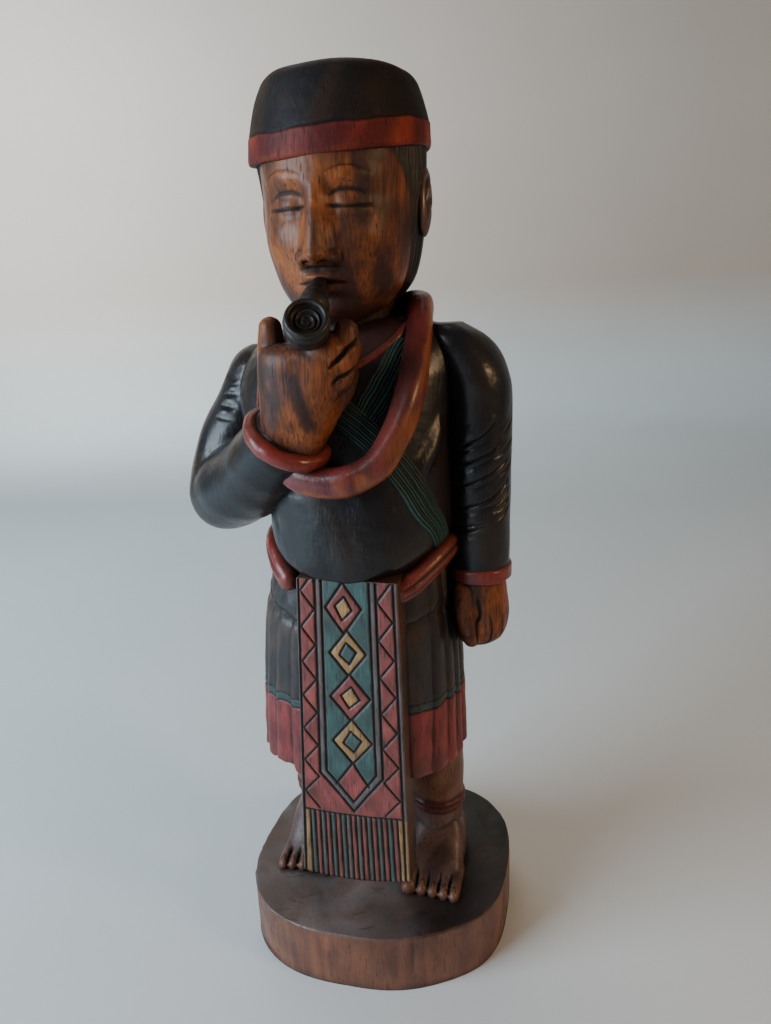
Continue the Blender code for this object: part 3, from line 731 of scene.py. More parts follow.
def make_apron():
    rows, front = 320, 112
    z = np.linspace(APRON_TOP, APRON_HEM, rows)[:, None]
    share = (APRON_TOP - z) / (APRON_TOP - APRON_HEM)
    middle, half = taper(APRON_MIDDLE, share) + 0.5, taper(APRON_HALF, share) + 0.4
    face = taper(APRON_FRONT, share)
    bottom = 1.6 * smoothstep(z, APRON_HEM + 2.5, APRON_HEM)
    s = np.linspace(-1, 1, front)[None]
    corner = np.linspace(0, math.pi / 2, 6)[None, 1:]
    bend = 1.5
    x = [middle + s * (half - bend)]
    y = [face + bottom + 0 * s]
    x.append(middle + half - bend + bend * np.sin(corner))
    y.append(face + bottom + bend - bend * np.cos(corner))
    depth = np.linspace(3, APRON_BACK - APRON_FRONT[1], 5)[None]
    x.append(middle + half + 0 * depth)
    y.append(face + depth * (APRON_BACK - face) / (APRON_BACK - APRON_FRONT[1]))
    back = np.linspace(0.9, -0.9, 6)[None]
    x.append(middle + half * back)
    y.append(APRON_BACK + 0 * back + 0 * z)
    x.append(middle - half + 0 * depth)
    y.append(y[2][:, ::-1])
    x.append(middle - half + bend - bend * np.sin(corner[:, ::-1]))
    y.append(y[1][:, ::-1])
    x, y = (np.concatenate([np.broadcast_to(part, (rows, part.shape[1])) for part in parts], 1)
            for parts in (x, y))
    over = np.clip((x - middle) / half, -1, 1)
    hem = (2.2 * over - 0.8 - 3.4 * (1 - over ** 2)) * smoothstep(z, 120, APRON_HEM)
    obj = skin("apron", np.stack([x, y, z + hem], -1))
    r = Relief(obj)
    co = r.co
    co[:, 2] = np.concatenate([np.broadcast_to(z, x.shape).ravel(), (APRON_TOP, APRON_HEM)])
    share = (APRON_TOP - co[:, 2]) / (APRON_TOP - APRON_HEM)
    half = taper(APRON_HALF, share)
    across = (co[:, 0] - APRON_MIDDLE[0] - (APRON_MIDDLE[1] - APRON_MIDDLE[0]) * share) / half
    up = co[:, 2]
    shown = r.normal[:, 1] < -0.5
    paint = np.tile(np.array(RED), (len(co), 1))
    paint[np.abs(across) > 0.94] = GREY
    paint[(across < -0.94) & shown] = np.array(GREY) * 0.9
    off = np.abs(across - POINT)
    outer = (across > LEFT) & (across < RIGHT) & (up > OUTER_POINT + (OUTER_KNEE - OUTER_POINT) * off / 0.60)
    paint[outer] = GREY
    inner = (across > LEFT + INNER_STEP) & (across < RIGHT - INNER_STEP)
    inner &= up > INNER_POINT + (INNER_KNEE - INNER_POINT) * off / 0.47
    paint[inner] = GREEN
    paint[inner & (up < PEAK - (PEAK - PEAK_FOOT) * off / 0.31)] = RED
    for number, (mid, z0, wide, tall) in enumerate(DIAMONDS):
        far = np.abs(across - mid) / wide + np.abs(up - z0) / tall
        paint[far < 1] = OCHRE if number % 2 else RED
        paint[far < 0.47] = GREEN if number % 2 else OCHRE
    fringe = up < FRINGE_TOP
    drop = (FRINGE_TOP - up) / (FRINGE_TOP - APRON_HEM)
    slot = ((across - FRINGE_DRIFT * drop + 0.93) / 1.86 * len(FRINGE)).astype(int)
    slot = np.clip(slot, 0, len(FRINGE) - 1)
    paint[fringe] = np.array(FRINGE)[slot[fringe]] * 0.85
    paint[fringe & (across < -0.935)] = GREY
    paint[~shown] = (0.030, 0.017, 0.013)
    flat = np.stack([across * half, up], 1)
    wide = 0.12 * waver(co, 9, 4) + 0.10 * waver(co, 23, 5)
    for path, width in apron_lines():
        points = np.array([(a * np.interp(z1, (APRON_HEM, APRON_TOP), APRON_HALF[::-1]), z1)
                           for a, z1 in path])
        gap = np.full(len(co), 1e9)
        for a, b in zip(points, points[1:]):
            low, high = np.minimum(a, b) - 2, np.maximum(a, b) + 2
            pick = np.nonzero(((flat > low) & (flat < high)).all(1) & shown)[0]
            leg = b - a
            t = np.clip((flat[pick] - a) @ leg / (leg @ leg), 0, 1)
            gap[pick] = np.minimum(gap[pick], np.linalg.norm(flat[pick] - a - t[:, None] * leg, axis=1))
        t = np.clip(1 - gap / (width * (1.25 + wide)), 0, 1)
        r.push = np.minimum(r.push, -1.25 * (1 - (1 - t) ** 1.5))
        r.cut = np.maximum(r.cut, smoothstep(t, 0.0, 0.4))
    puff = np.where(shown, 0.22 * waver(co, 14, 6), 0.4 * waver(co, 30, 7) - 0.2)
    r.push = np.minimum(r.push + puff * 0.6, 0.2)
    paint = paint * (1 + 0.22 * waver(co * (1, 1, 0.5), 11, 8) + 0.15 * waver(co, 33, 9))[:, None]
    mark(obj, "paint", np.clip(paint, 0.002, 1))
    r.co = get(obj)
    return finish(r.apply(), PATTERN)


make_apron()


# Jacket and arms
def jacket_lean(x, z):
    shoulder = 0.065 * x * np.clip((z - 340) / 60, 0, 1)
    return shoulder + waist_rise(x) * np.clip((325 - z) / 50, 0, 1)


def collar_height(x):
    return 386.5 + 0.44 * np.abs(x - HEAD_X)


def black_cloth(obj, r):
    """Black, browner in places, with the bare neck inside the collar's V."""
    paint = blend(blotches(r.co, 38, 33, 0.0, 1.2, 0.5), BLACK, (0.018, 0.012, 0.009))
    x, y, z = r.co.T
    neck = (z > collar_height(x)) & (np.abs(x - HEAD_X) < 40) & (y < -25)
    paint[neck] = (0.034, 0.014, 0.012)
    mark(obj, "paint", paint)
    return finish(r.apply(), JACKET)


def make_torso():
    rows = [(252, 0, BODY_Y, 50, 50), (264, 1, BODY_Y, 60, 65), (271, 1, BODY_Y, 62.5, 70.5),
            (292, 1, BODY_Y, 63.5, 70.5), (325, -3, BODY_Y, 67, 67), (355, -7, BODY_Y, 71, 61),
            (380, -7, BODY_Y, 74, 54), (394, -6, BODY_Y, 73, 47), (405, -5, BODY_Y, 68, 40),
            (413, -4, BODY_Y, 59, 33), (420, -4, BODY_Y, 38, 22)]
    obj = upright("jacket", rows, 260, 110, 2.2, None, jacket_lean)
    r = Relief(obj)
    r.stroke([(62, -30, 371), (59, -33.5, 362), (55, -39, 350), (51, -50, 336), (48, -57, 322)], 9, 2.8,
             0, 0.45, soft=True)
    r.stroke([(64, -18, 366), (64, -10, 347), (64, -16, 330), (63.7, -20, 315), (62, -30, 298)], 7, -2.4,
             0.2, 0.4, soft=True)
    r.stroke([(-52, -46, 330), (-44, -56, 312), (-40, -64, 292)], 8, -1.0, 0, 0.4, soft=True)
    uneven(r, 40, 0.5, 31)
    uneven(r, 13, 0.12, 32)
    return black_cloth(obj, r)


BODICE = make_torso()
SURFACE = BVHTree.FromPolygons([vertex.co for vertex in BODICE.data.vertices],
                               [tuple(polygon.vertices) for polygon in BODICE.data.polygons])


def on_jacket(spots):
    """The nearest places on the jacket, and its outward directions there."""
    found = [SURFACE.find_nearest(Vector((spot + LIFT) * MM))[:2] for spot in spots]
    place = np.array([tuple(place) for place, _ in found]) / MM - LIFT
    return place, np.array([tuple(normal) for _, normal in found])


def make_straight_arm():
    rows = [(253, 79.5, -8, 18.6, 21.6), (310, 79, -8, 19.6, 23.2), (368, 78.5, -8, 20.5, 26),
            (386, 76, -8, 21, 27), (399, 70.5, -8, 20.5, 26), (410, 63, -8, 18, 23),
            (417, 56, -8, 12, 17)]
    obj = upright("straight_sleeve", rows, 170, 190, 2.1)
    r = Relief(obj)
    creases = (((63, -24, 343), (71, -31, 343.6), (77.5, -33, 346.3), (84, -32.5, 350), (88.3, -31, 354.5),
                (91, -29, 359)),
               ((63, -24, 331), (71, -30, 331.8), (77.4, -32.4, 334), (84, -32, 337), (90.4, -29, 341),
                (94, -26, 346)),
               ((62, -22, 317), (70, -29, 317.4), (77.2, -31.6, 320), (84, -31, 323.5), (91.3, -26.5, 328),
                (97, -19, 333.5)),
               ((61, -18, 302), (68.2, -26.5, 302.4), (77, -30.3, 304.8), (84, -30, 307),
                (90.3, -27.4, 310.5), (94.4, -23.4, 314.2), (98, -16, 321)),
               ((60, -14, 287.5), (65.3, -24, 286.5), (73.2, -29.2, 287.5), (79.3, -30.5, 289.2),
                (85, -30, 291.6)))
    for path in creases:
        r.stroke([(x, y, z + 4.2) for x, y, z in path], 4.4, 1.2, 0, 0.35, soft=True)
        r.stroke([(x, y, z - 3.4) for x, y, z in path], 3.6, -0.6, 0, 0.35, soft=True)
        r.stroke(path, 1.25, -1.9, 1.0, 0.3, 44)
    r.stroke([(62, -18, 290.5), (66.5, -24, 290), (77, -30.2, 291.6), (84, -30.2, 294.4)],
             1.0, -1.0, 0.9, 0.3)
    folds = (((85, -30, 302.5), (91.3, -25.5, 306.3), (95.4, -21, 310), (98.5, -14, 316)),
             ((88.3, -29, 299.5), (94.6, -23.7, 303), (98.5, -14, 308.5)),
             ((91.4, -26.2, 294.5), (95.5, -21.8, 298), (99, -13, 303)),
             ((90.4, -28.6, 335.5), (97.3, -19, 341.3), (99, -10, 346)),
             ((92.4, -26.3, 323), (97.9, -16.3, 328.5), (99, -8, 334)),
             ((93, -26, 347), (98, -16, 354), (99.4, -8, 360)))
    for path in folds:
        r.stroke([(x, y, z + 3) for x, y, z in path], 2.6, 0.8, 0, 0.4, soft=True)
        r.stroke(path, 1.5, -1.5, 0.35, 0.4, 40)
    for z in (345, 330, 316, 300, 286):
        r.stroke([(99, 2, z + 4), (93, 12, z), (82, 16, z - 3), (70, 14, z - 2)], 2.0, -1.2, 0.3, 0.4, 40)
        r.stroke([(99, 2, z + 8), (93, 12, z + 4), (82, 16, z + 1), (70, 14, z + 2)],
                 3.6, 0.7, 0, 0.4, soft=True)
    uneven(r, 26, 0.3, 41)
    black_cloth(obj, r)
    cuff = [(251, 79.5, -8, 19.2, 22.2), (251.6, 79.5, -8, 20.1, 23.1), (252.6, 79.3, -8, 20.4, 23.5),
            (258.2, 79.3, -8, 20.4, 23.5), (259.6, 79.5, -8, 20.1, 23.1), (260.6, 79.5, -8, 19, 22)]
    finish_plain(upright("straight_cuff", cuff, 150, 26, 2.1), RED_PAINT, 12, 0.18, 42)


make_straight_arm()


def make_fist():
    fist = [(202.5, 76.5, -9, 8, 10), (204.5, 77, -9, 12.5, 14), (211, 79, -9, 17, 19),
            (224, 80, -9, 18.3, 21), (240, 80, -9, 17.3, 20), (256, 79.5, -8, 15, 18)]
    parts = [upright("palm", fist, 90, 60, 2.2),
             tube("thumb", [(69.5, -23, 246, 6.5), (71, -27, 233, 7.2), (73.5, -29, 220, 6.8),
                            (75.5, -28, 211, 5.4)], 24, 26)]
    obj = fuse("fist", parts, 1.0, 12)
    r = Relief(obj)
    r.stroke([(79, -31, 243), (81.5, -33, 232), (80.5, -32, 219), (78, -29, 209)], 1.7, -1.5, 0.9, 0.3)
    r.stroke([(70, -33, 217), (73.5, -37, 214.5), (77.5, -36, 217)], 0.9, -0.6, 0.7, 0.3)
    for x, y in ((87, -26), (92, -20), (96, -12)):
        r.stroke([(x, y, 228), (x + 1, y + 1, 216), (x - 3, y + 3, 206)], 1.5, -1.0, 0.7, 0.4)
    uneven(r, 15, 0.3, 43)
    mark(obj, "shade", smoothstep(waver(r.co, 17, 44), 0.3, 1.1) * 0.5)
    return finish(r.apply(), PLAIN_WOOD)


make_fist()


def make_bent_arm():
    upper = [(-67, -8, 383, 25), (-76, -12, 362, 26.3), (-85, -18, 343, 26.5),
             (-90.5, -24, 323, 26.6), (-92, -28, 309, 26.6)]
    fore = [(-92, -28, 309, 26.6), (-78, -40, 317, 26.5), (-60, -52, 327, 25.5),
            (-43, -65, 341, 24.5), (-31, -73.5, 352, 23.5)]
    obj = fuse("bent_sleeve", [tube("upper arm", upper, 60, 90), tube("forearm", fore, 60, 90)], 1.6, 16)
    r = Relief(obj)
    for x, y, z in ((-79, -29, 379), (-81, -31, 371), (-83.5, -32.5, 363)):
        r.stroke([(x - 5, y + 1, z + 1), (x, y, z), (x + 5, y, z)], 3.8, 0.8, 0, 0.5, soft=True)
        r.stroke([(x - 6, y + 2, z - 4), (x, y, z - 4.2), (x + 6, y, z - 4.4)], 1.8, -0.9, 0.5, 0.5)
    r.stroke([(-92, -18, 387.5), (-84, -26, 386.5), (-74, -29, 385)], 1.8, -1.1, 0.6, 0.4)
    r.stroke([(-66, -44, 343), (-76, -43, 334), (-90, -38, 330)], 2.4, -1.4, 0.5, 0.4)
    for x, y, z in ((-96, 2, 360), (-100, -4, 345), (-104, -10, 330)):
        r.stroke([(x, y, z), (x + 8, y + 8, z - 4), (x + 22, y + 10, z - 9)], 2.0, -1.2, 0.5, 0.4)
    uneven(r, 34, 0.5, 51)
    black_cloth(obj, r)
    cuff = [(0.05, 2), (15, 2), (17.5, 2.4), (18.6, 3.8), (20.5, 5), (23.5, 5.1), (26, 3.8), (27.3, 1.4),
            (27.3, -1.2), (26.4, -3.4), (24.4, -4.8), (21, -5.4), (0.05, -5.4)]
    obj = turned("bent_cuff", spline(cuff, 60), (-25, -77, 357), (0.50, -0.28, 0.82), 120)
    finish_plain(obj, RED_PAINT, 14, 0.3, 52)


make_bent_arm()


def make_raised_hand():
    rows = [(334, -25, -72, 15, 14), (350, -22, -77, 17.5, 16), (365, -17, -80, 21, 17.3),
            (378, -13, -81.5, 24, 18), (392, -10.5, -82.5, 26, 18), (403, -9, -83, 27, 17.5),
            (409, -8.5, -83, 26.5, 14.5), (412, -8.5, -83, 24, 9)]
    parts = [upright("palm", rows, 130, 100, 2.7),
             tube("raised thumb", [(-25, -82, 392, 13), (-28, -84, 407, 9), (-27, -86, 420, 6.6)], 26, 34),
             tube("index", [(10, -85, 394, 10.5), (14.5, -86, 407, 8.5), (16.5, -87, 418, 6.4)], 26, 34),
             tube("middle", [(4, -82, 384, 9), (12, -80, 396, 7.6), (16.5, -76, 408, 5.8)], 24, 30),
             tube("ring finger", [(0, -80, 374, 9), (9, -78, 384, 7.4), (14, -74, 393.5, 5.6)], 24, 30),
             ball("seat", (5, -90, 408), (13, 10, 10))]
    obj = fuse("raised_hand", parts, 0.9, 9)
    r = Relief(obj)
    r.stroke([(22, -82, 416), (18.8, -88, 411.5), (15.5, -93, 405.5), (9.5, -98, 398.5)],
             1.9, -2.3, 0.95, 0.25, 40)
    r.stroke([(21, -80, 402.5), (17.6, -86, 398.7), (13.5, -90, 394.5), (8.8, -94, 390.5)],
             1.7, -2.0, 0.9, 0.25, 40)
    r.stroke([(17, -78, 389.5), (13, -84, 386), (8, -90, 381)], 1.5, -1.4, 0.6, 0.4)
    uneven(r, 22, 0.35, 61)
    x, _, z = r.co.T
    scar = (np.exp(-((x + 9 + 0.25 * (z - 385)) / 4.6) ** 4)
            * smoothstep(z, 360, 368) * smoothstep(z, 402, 392))
    r.cut = np.maximum(r.cut, 0.5 * scar)
    # Darker at the scar and in random stains, and, as painted shade, where the hand goes into the cuff and
    # round the bowl's seat
    shade = np.maximum(0.9 * scar, 0.75 * smoothstep(z + 3 * waver(r.co, 12, 62), 362, 350))
    shade = np.maximum(shade, 0.8 * smoothstep(z + 2 * waver(r.co, 9, 63), 404, 414) * (np.abs(x + 6) < 17))
    mark(obj, "shade", np.maximum(shade, 0.5 * smoothstep(waver(r.co, 15, 64), 0.4, 1.2)))
    return finish(r.apply(), PLAIN_WOOD)


make_raised_hand()

BOWL = (1, -104, 423)
BOWL_AXIS = (0.30, -0.80, 0.52)
MOUTH = (-3.5, -60, 445.5)


def make_pipe():
    def swirl(angle, radius):
        inside = smoothstep(radius, 8.4, 7.4) * smoothstep(radius, 0.5, 2.0)
        return 0.9 * inside * np.sin(radius * 2.1 + angle * 1.0)
    dish = [(radius, 2.2 - 0.9 * (1 - radius / 8)) for radius in np.linspace(0, 8, 22)]
    rim = [(8.6, 3.4), (9.0, 4.8), (9.8, 5.6), (10.8, 5.6), (11.6, 4.9), (11.9, 3.9), (12.0, 3.2)]
    groove = [(11.5, 2.7), (11.4, 2.2), (11.8, 1.7), (12.4, 1.0)]
    belly = [(12.5, -1), (12.3, -4), (11.8, -7), (10.8, -10), (9.2, -13), (7, -15.2), (4, -16.6), (0, -17)]
    obj = turned("pipe_bowl", spline(dish + rim + groove + belly, 92), BOWL, BOWL_AXIS, 96, swirl)
    finish_plain(obj, PIPE, 9, 0.15, 71)
    stem = [(*MOUTH, 3.1), (-3, -67, 443, 3.7), (-2.2, -75, 439.5, 5.6), (-1, -86, 431.5, 8.8)]
    obj = tube("pipe_stem", stem, 60, 44)
    r = Relief(obj)
    for t in np.linspace(0.2, 0.8, 4):
        r.stroke([(-3 + 3 * math.cos(a), -62 - 28 * t, 448 - 19 * t + 4 * math.sin(a))
                  for a in np.linspace(0.3, 2.8, 5)], 0.9, -0.5, 0.5, 0.3)
    return finish(r.apply(), PIPE)


make_pipe()


# Neck, head and hat
def make_neck():
    rows = [(394, HEAD_X, -8, 34, 32), (412, HEAD_X, -8, 30, 29), (440, HEAD_X, -8, 28, 27)]
    obj = upright("neck", rows, 150, 24)
    r = Relief(obj)
    for number in range(15):
        a = math.radians(-60 + number * 21)
        x, y = HEAD_X + 30 * math.cos(a), -8 + 29 * math.sin(a)
        r.stroke([(x, y, 436), (x + 1, y, 424), (x, y, 414 - number % 4)], 0.9, -0.5, 0.8, 0.3)
    finish(r.apply(), NECK_WOOD)
    path = []
    for a in np.linspace(0, 2 * math.pi, 40, endpoint=False):
        x = HEAD_X + 40 * math.cos(a)
        y = -14 + 36 * math.sin(a) - 10 * max(0, -math.sin(a)) ** 2
        path.append((x, y, min(collar_height(x) + 14 * max(0, math.sin(a)) + 3, 418)))
    place, out = on_jacket(np.array(path))
    obj = tube("collar", np.column_stack([place - 0.6 * out, np.full(40, 2.5)]), 240, 16, closed=True)
    finish_plain(obj, RED_PAINT, 12, 0.2, 82)


make_neck()

HEAD_ROWS = ((419, HEAD_X, -32, 7, 8), (420.5, HEAD_X, -32, 13, 14), (428, HEAD_X, -27, 26, 29),
             (438, HEAD_X, -22, 34.5, 40), (450, HEAD_X, -19, 40, 46), (466, HEAD_X, -17, 43.7, 50),
             (486, HEAD_X, -16, 45.7, 52), (505, HEAD_X, HEAD_Y, 46.3, 53), (520, HEAD_X, HEAD_Y, 46, 52))
EYE_Z = 485.5


def hump(distance):
    """A rounded rise that is 1 at distance 0 and meets the surface smoothly at 1."""
    return np.clip(1 - distance, 0, 1) ** 2 * (1 + 2 * np.clip(distance, 0, 1))


def make_head():
    obj = upright("head", HEAD_ROWS, 400, 150, 2.15, None, None, 0.45)
    r = Relief(obj)
    x, z = r.co[:, 0] - HEAD_X, r.co[:, 2]
    wide = np.abs(x)
    front = smoothstep(-r.normal[:, 1], 0.1, 0.6)

    def spread(x0, z0, half, tall):
        return np.exp(-((wide - x0) / half) ** 2 - ((z - z0) / tall) ** 2)
    push = 1.6 * spread(17, 497.5, 12, 4.5) + 1.2 * spread(0, 495, 7, 7)
    push -= 3.9 * spread(18, 486.5, 12, 8.5) + 1.8 * spread(9, 484, 5, 9)
    push += 3.4 * hump(np.sqrt(((wide - 18.5) / 14) ** 2 + ((z - EYE_Z + 0.5) / 8.6) ** 2))
    push += 2.2 * spread(26, 467, 13, 11) - 1.0 * spread(39, 490, 8, 12)
    high = np.interp(z, (448, 451.4, 454.0, 458.5, 466, 478, 488, 498),
                     (0, 0, 7.0, 11.6, 10.2, 6.6, 3.4, 0.5))
    half = np.interp(z, (450, 458, 466, 477, 490, 498), (7.6, 7.8, 6.6, 5.8, 6.6, 9))
    push += high * np.exp(-(wide / half) ** 2.2)
    push += 1.6 * hump(np.sqrt((wide / 7) ** 2 + ((z - 457.5) / 6.5) ** 2))
    push += 4.2 * hump(np.sqrt(((wide - 8.8) / 5.6) ** 2 + ((z - 455.8) / 5.8) ** 2))
    push += 3.0 * np.exp(-((z - 446.6 + 0.05 * wide) / 2.6) ** 2) * smoothstep(wide, 14.5, 5)
    push += 3.4 * np.exp(-((z - 440.2) / 2.9) ** 2) * smoothstep(wide, 13, 3)
    push -= 1.6 * spread(0, 434, 12, 3) - 2.6 * spread(0, 427, 12, 6.5)
    push -= 0.8 * spread(15.5, 443, 2.6, 3)
    push -= 0.6 * np.exp(-(wide / 1.9) ** 2) * smoothstep(z, 447.5, 449.5) * smoothstep(z, 453, 451)
    lid = 482.4 + 1.0 * ((wide - 18) / 13) ** 2
    fold = 491.4 - 4.2 * ((wide - 18.5) / 12.5) ** 2
    brow = 503 - 4.6 * ((wide - 18.5) / 13.5) ** 2
    lips = 443.4 - 0.9 * (wide / 14.5) ** 2
    cut = 0 * z
    lines = ((lid, 6, 31.5, 0.85, 1.4, 1.0), (fold, 7, 30.5, 0.7, 0.8, 0.7),
             (brow, 6, 32, 0.8, 0.45, 0.5), (lips, -2, 14.8, 0.9, 1.6, 1.0))
    for curve, start, end, half_width, depth, stain in lines:
        span = np.clip((wide - start) / 3.5, 0, 1) * np.clip((end - wide) / 3.5, 0, 1)
        t = np.clip(1 - np.abs(z - curve) / (half_width * (0.5 + 0.5 * span)), 0, 1) * (span > 0)
        push -= depth * (1 - (1 - t) ** 1.6) * span ** 0.5
        cut = np.maximum(cut, stain * smoothstep(t, 0.05, 0.6) * span ** 0.5)
    r.push = push * front
    r.cut = cut * front
    carved_lines = r.cut
    r = Relief(r.apply())
    r.cut = carved_lines
    for side in (-1, 1):
        def trace(points):
            return [(HEAD_X + side * a, b, c) for a, b, c in points]
        r.stroke(trace([(2.4, -74, 452.6), (4.6, -74, 452), (7.4, -72, 452.4)]), 1.5, -1.2, 1.0, 0.3)
        r.stroke(trace([(13.4, -66, 459.5), (14.2, -65, 455.5), (12, -66, 451.4)]), 1.0, -0.6, 0.6, 0.35)
    uneven(r, 24, 0.22, 81)
    z = r.co[:, 2]
    # Darker just under the hat and below the chin, as painted shade, and in random stains over the face
    shade = 0.85 * smoothstep(z + 5 * waver(r.co, 21, 83), 497, 511)
    shade = np.maximum(shade, 0.8 * smoothstep(z + 6 * waver(r.co, 24, 84), 441, 428))
    shade = np.maximum(shade, 0.75 * smoothstep(waver(r.co * (1, 1, 0.6), 20, 85), 0.45, 1.1))
    mark(obj, "shade", shade)
    return finish(r.apply(), PLAIN_WOOD)


make_head()


def make_hair():
    rows = [(430, HEAD_X, -2, 28, 26), (445, HEAD_X, -4, 40.5, 36), (466, HEAD_X, -6, 46.5, 43),
            (490, HEAD_X, -9, 49.4, 46.5), (518, HEAD_X, -13, 51, 50.5)]
    rng = np.random.default_rng(91)
    marks = np.sort(rng.uniform(0, 2 * math.pi, 130))

    def strands(angle, z):
        sway = angle + 0.012 * np.sin(z / 17 + angle * 3)
        gap = np.abs((sway[..., None] - marks + math.pi) % (2 * math.pi) - math.pi).min(-1)
        return -1.0 * np.clip(1 - gap / 0.018, 0, 1) + 0.12 * np.sin(angle * 140)
    obj = upright("hair", rows, 480, 40, 2.15, strands)
    finish(obj, HAIR)
    for side in (-1, 1):
        obj = ball(f"ear_{'left' if side > 0 else 'right'}", (HEAD_X + side * 49, -8, 488), (4.5, 10.5, 20.5),
                   (-8, 0, 0), 72, 48)
        r = Relief(obj)
        centre = HEAD_X + side * 51
        r.stroke([(centre, -13, 478), (centre, -14, 490), (centre, -11, 499), (centre, -5, 500),
                  (centre, -1, 491), (centre, -3, 479)], 2.2, -1.8, 0.9, 0.25, 60)
        r.stroke([(centre, -12, 482), (centre, -9.5, 489), (centre, -6, 486), (centre, -8, 478)], 2.8, -2.0,
                 0.7, 0.3, 40)
        finish(r.apply(), EAR_WOOD)


make_hair()


def make_hat():
    """A round hat, lower at the brow, with a painted band."""
    profile = [(52.6, 0.2), (53.6, 0.6), (54.2, 1.8), (54.4, 4), (54.1, 9), (53.8, 14.2),
               (53.5, 14.9), (53.2, 15.5), (51.4, 22), (49.4, 29), (47.3, 35), (45.2, 39.4), (42.2, 42.3),
               (37.6, 44), (31, 45.1), (22, 46.1), (11, 46.8), (0, 47)]
    brim = 513
    obj = turned("hat", [(0.3, 0.2), *spline(profile, 125)], (HEAD_X, HEAD_Y, brim), (0, 0, 1), 220)
    r = Relief(obj)
    high = r.co[:, 2] - brim + 0.7 * waver(r.co, 26, 103)
    band_top = 14.6
    line = np.clip(1 - np.abs(high - band_top) / 0.9, 0, 1)
    uneven(r, 38, 0.45, 101)
    uneven(r, 15, 0.10, 102)
    r.push = np.minimum(r.push, 0.3 * smoothstep(r.co[:, 2], 560, 556)) - 0.5 * line
    paint = blend(blotches(r.co, 30, 104, 0.0, 1.1, 0.7), (0.0075, 0.007, 0.008), (0.020, 0.012, 0.008))
    band = blend(blotches(r.co, 26, 105, -0.6, 1.0), (0.075, 0.009, 0.009), (0.20, 0.026, 0.015))
    paint = np.where(high[:, None] < band_top, band, paint)
    mark(obj, "paint", paint)
    r.cut = np.maximum(r.cut, 0.75 * smoothstep(line, 0, 0.6))
    r.apply()
    co = get(obj)
    x, y = co[:, 0] - HEAD_X, co[:, 1] - HEAD_Y
    tilt = 0.075 * np.maximum(x, 0) + 0.02 * np.minimum(x, 0) + 0.105 * np.minimum(y, 0)
    co[:, 0] += 1 * smoothstep(co[:, 2], 526, 556)
    co[:, 2] += tilt * smoothstep(co[:, 2], 552, 520)
    put(obj, co)
    return finish(obj, HAT_PAINT)


make_hat()


# The neck ring and the sashes
def make_neck_ring():
    path = [(-3, 28, 422, 8), (22, 22, 427, 8), (38, 6, 429, 8), (43, -18, 421, 8),
            (46, -42, 402, 8.2), (45, -58, 382, 8.4), (39, -69, 360, 8.6), (29, -77, 342, 8.8),
            (13, -81, 333, 9), (-4, -81, 331, 9), (-22, -79, 336, 8.8), (-36, -71, 352, 8.4),
            (-43, -58, 374, 8), (-45, -40, 394, 8), (-43, -18, 408, 8), (-37, 4, 415, 8),
            (-24, 21, 418, 8)]
    obj = tube("neck_ring", path, 320, 40, closed=True, power=2.7)
    r = Relief(obj)
    uneven(r, 28, 0.35, 111)
    away = r.co - (0, -40, 385)
    away /= np.linalg.norm(away, axis=1)[:, None]
    rim = (r.normal * away).sum(1) + 0.25 * waver(r.co, 16, 112)
    # The outer rim on the side facing right and a little down turns orange-brown: worn paint, and painted
    # warm light from the lamp on that side
    warm_lit_side = smoothstep(r.normal[:, 0] - 0.4 * r.normal[:, 2], -0.3, 0.3)
    worn = (smoothstep(rim, 0.62, 0.95) * warm_lit_side)[:, None]
    red = blend(blotches(r.co, 24, 113, -0.8, 1.0), (0.070, 0.010, 0.012), (0.150, 0.022, 0.024))
    mark(obj, "paint", blend(worn, red, (0.235, 0.062, 0.022)))
    return finish(r.apply(), RING_PAINT)


make_neck_ring()


def strap(name, path, half_width, height, cords, seed):
    """A flat band of cords laid over the jacket."""
    steps, columns = 120, 72
    path = spline(path, steps)
    _, out = on_jacket(path)
    side = np.cross(np.gradient(path, axis=0), out)
    side /= np.linalg.norm(side, axis=1)[:, None]
    t = np.linspace(0, 1, steps)[:, None]
    across = np.linspace(-1, 1, columns)[None]
    width = half_width * (1 + 0.05 * np.sin(t * 11 + seed) + 0.03 * np.sin(t * 29))
    flat = path[:, None] + side[:, None] * (width * across)[..., None]
    place, normal = (part.reshape(steps, columns, 3) for part in on_jacket(flat.reshape(-1, 3)))
    rng = np.random.default_rng(seed)
    marks = np.linspace(-1, 1, cords + 1)[1:-1] + rng.uniform(-0.03, 0.03, cords - 1)
    sway = 0.03 * np.sin(t * 9 + seed) + 0.02 * np.sin(t * 23 + 1)
    gap = np.abs(across[..., None] + sway[..., None] - marks).min(-1) * half_width
    groove = np.clip(1 - gap / 0.62, 0, 1)
    edge = np.sqrt(np.clip(1 - np.abs(across) ** 5, 0, 1))
    sunk = smoothstep(t, 0, 0.02) * smoothstep(t, 1, 0.97)
    lift = (height * edge - 0.8 * groove) * sunk - 1.5 * (1 - sunk)
    top = place + normal * lift[..., None]
    under = place - normal * 3
    rings = np.concatenate([top, under[:, ::-6]], 1)
    obj = skin(name, rings)
    count = rings.shape[1]
    band = (across[..., None] + sway[..., None] > marks).sum(-1) % 3
    colours = np.array(((0.012, 0.055, 0.049), (0.020, 0.036, 0.032), (0.014, 0.070, 0.060)))
    paint = np.full((steps, count, 3), 0.01)
    paint[:, :columns] = colours[band]
    cut = np.zeros((steps, count))
    cut[:, :columns] = smoothstep(groove, 0.1, 0.7) * 0.9
    mark(obj, "paint", np.concatenate([paint.reshape(-1, 3), np.full((2, 3), 0.01)]))
    mark(obj, "cut", np.concatenate([cut.ravel(), (0, 0)]))
    return finish(obj, SASH_PAINT)


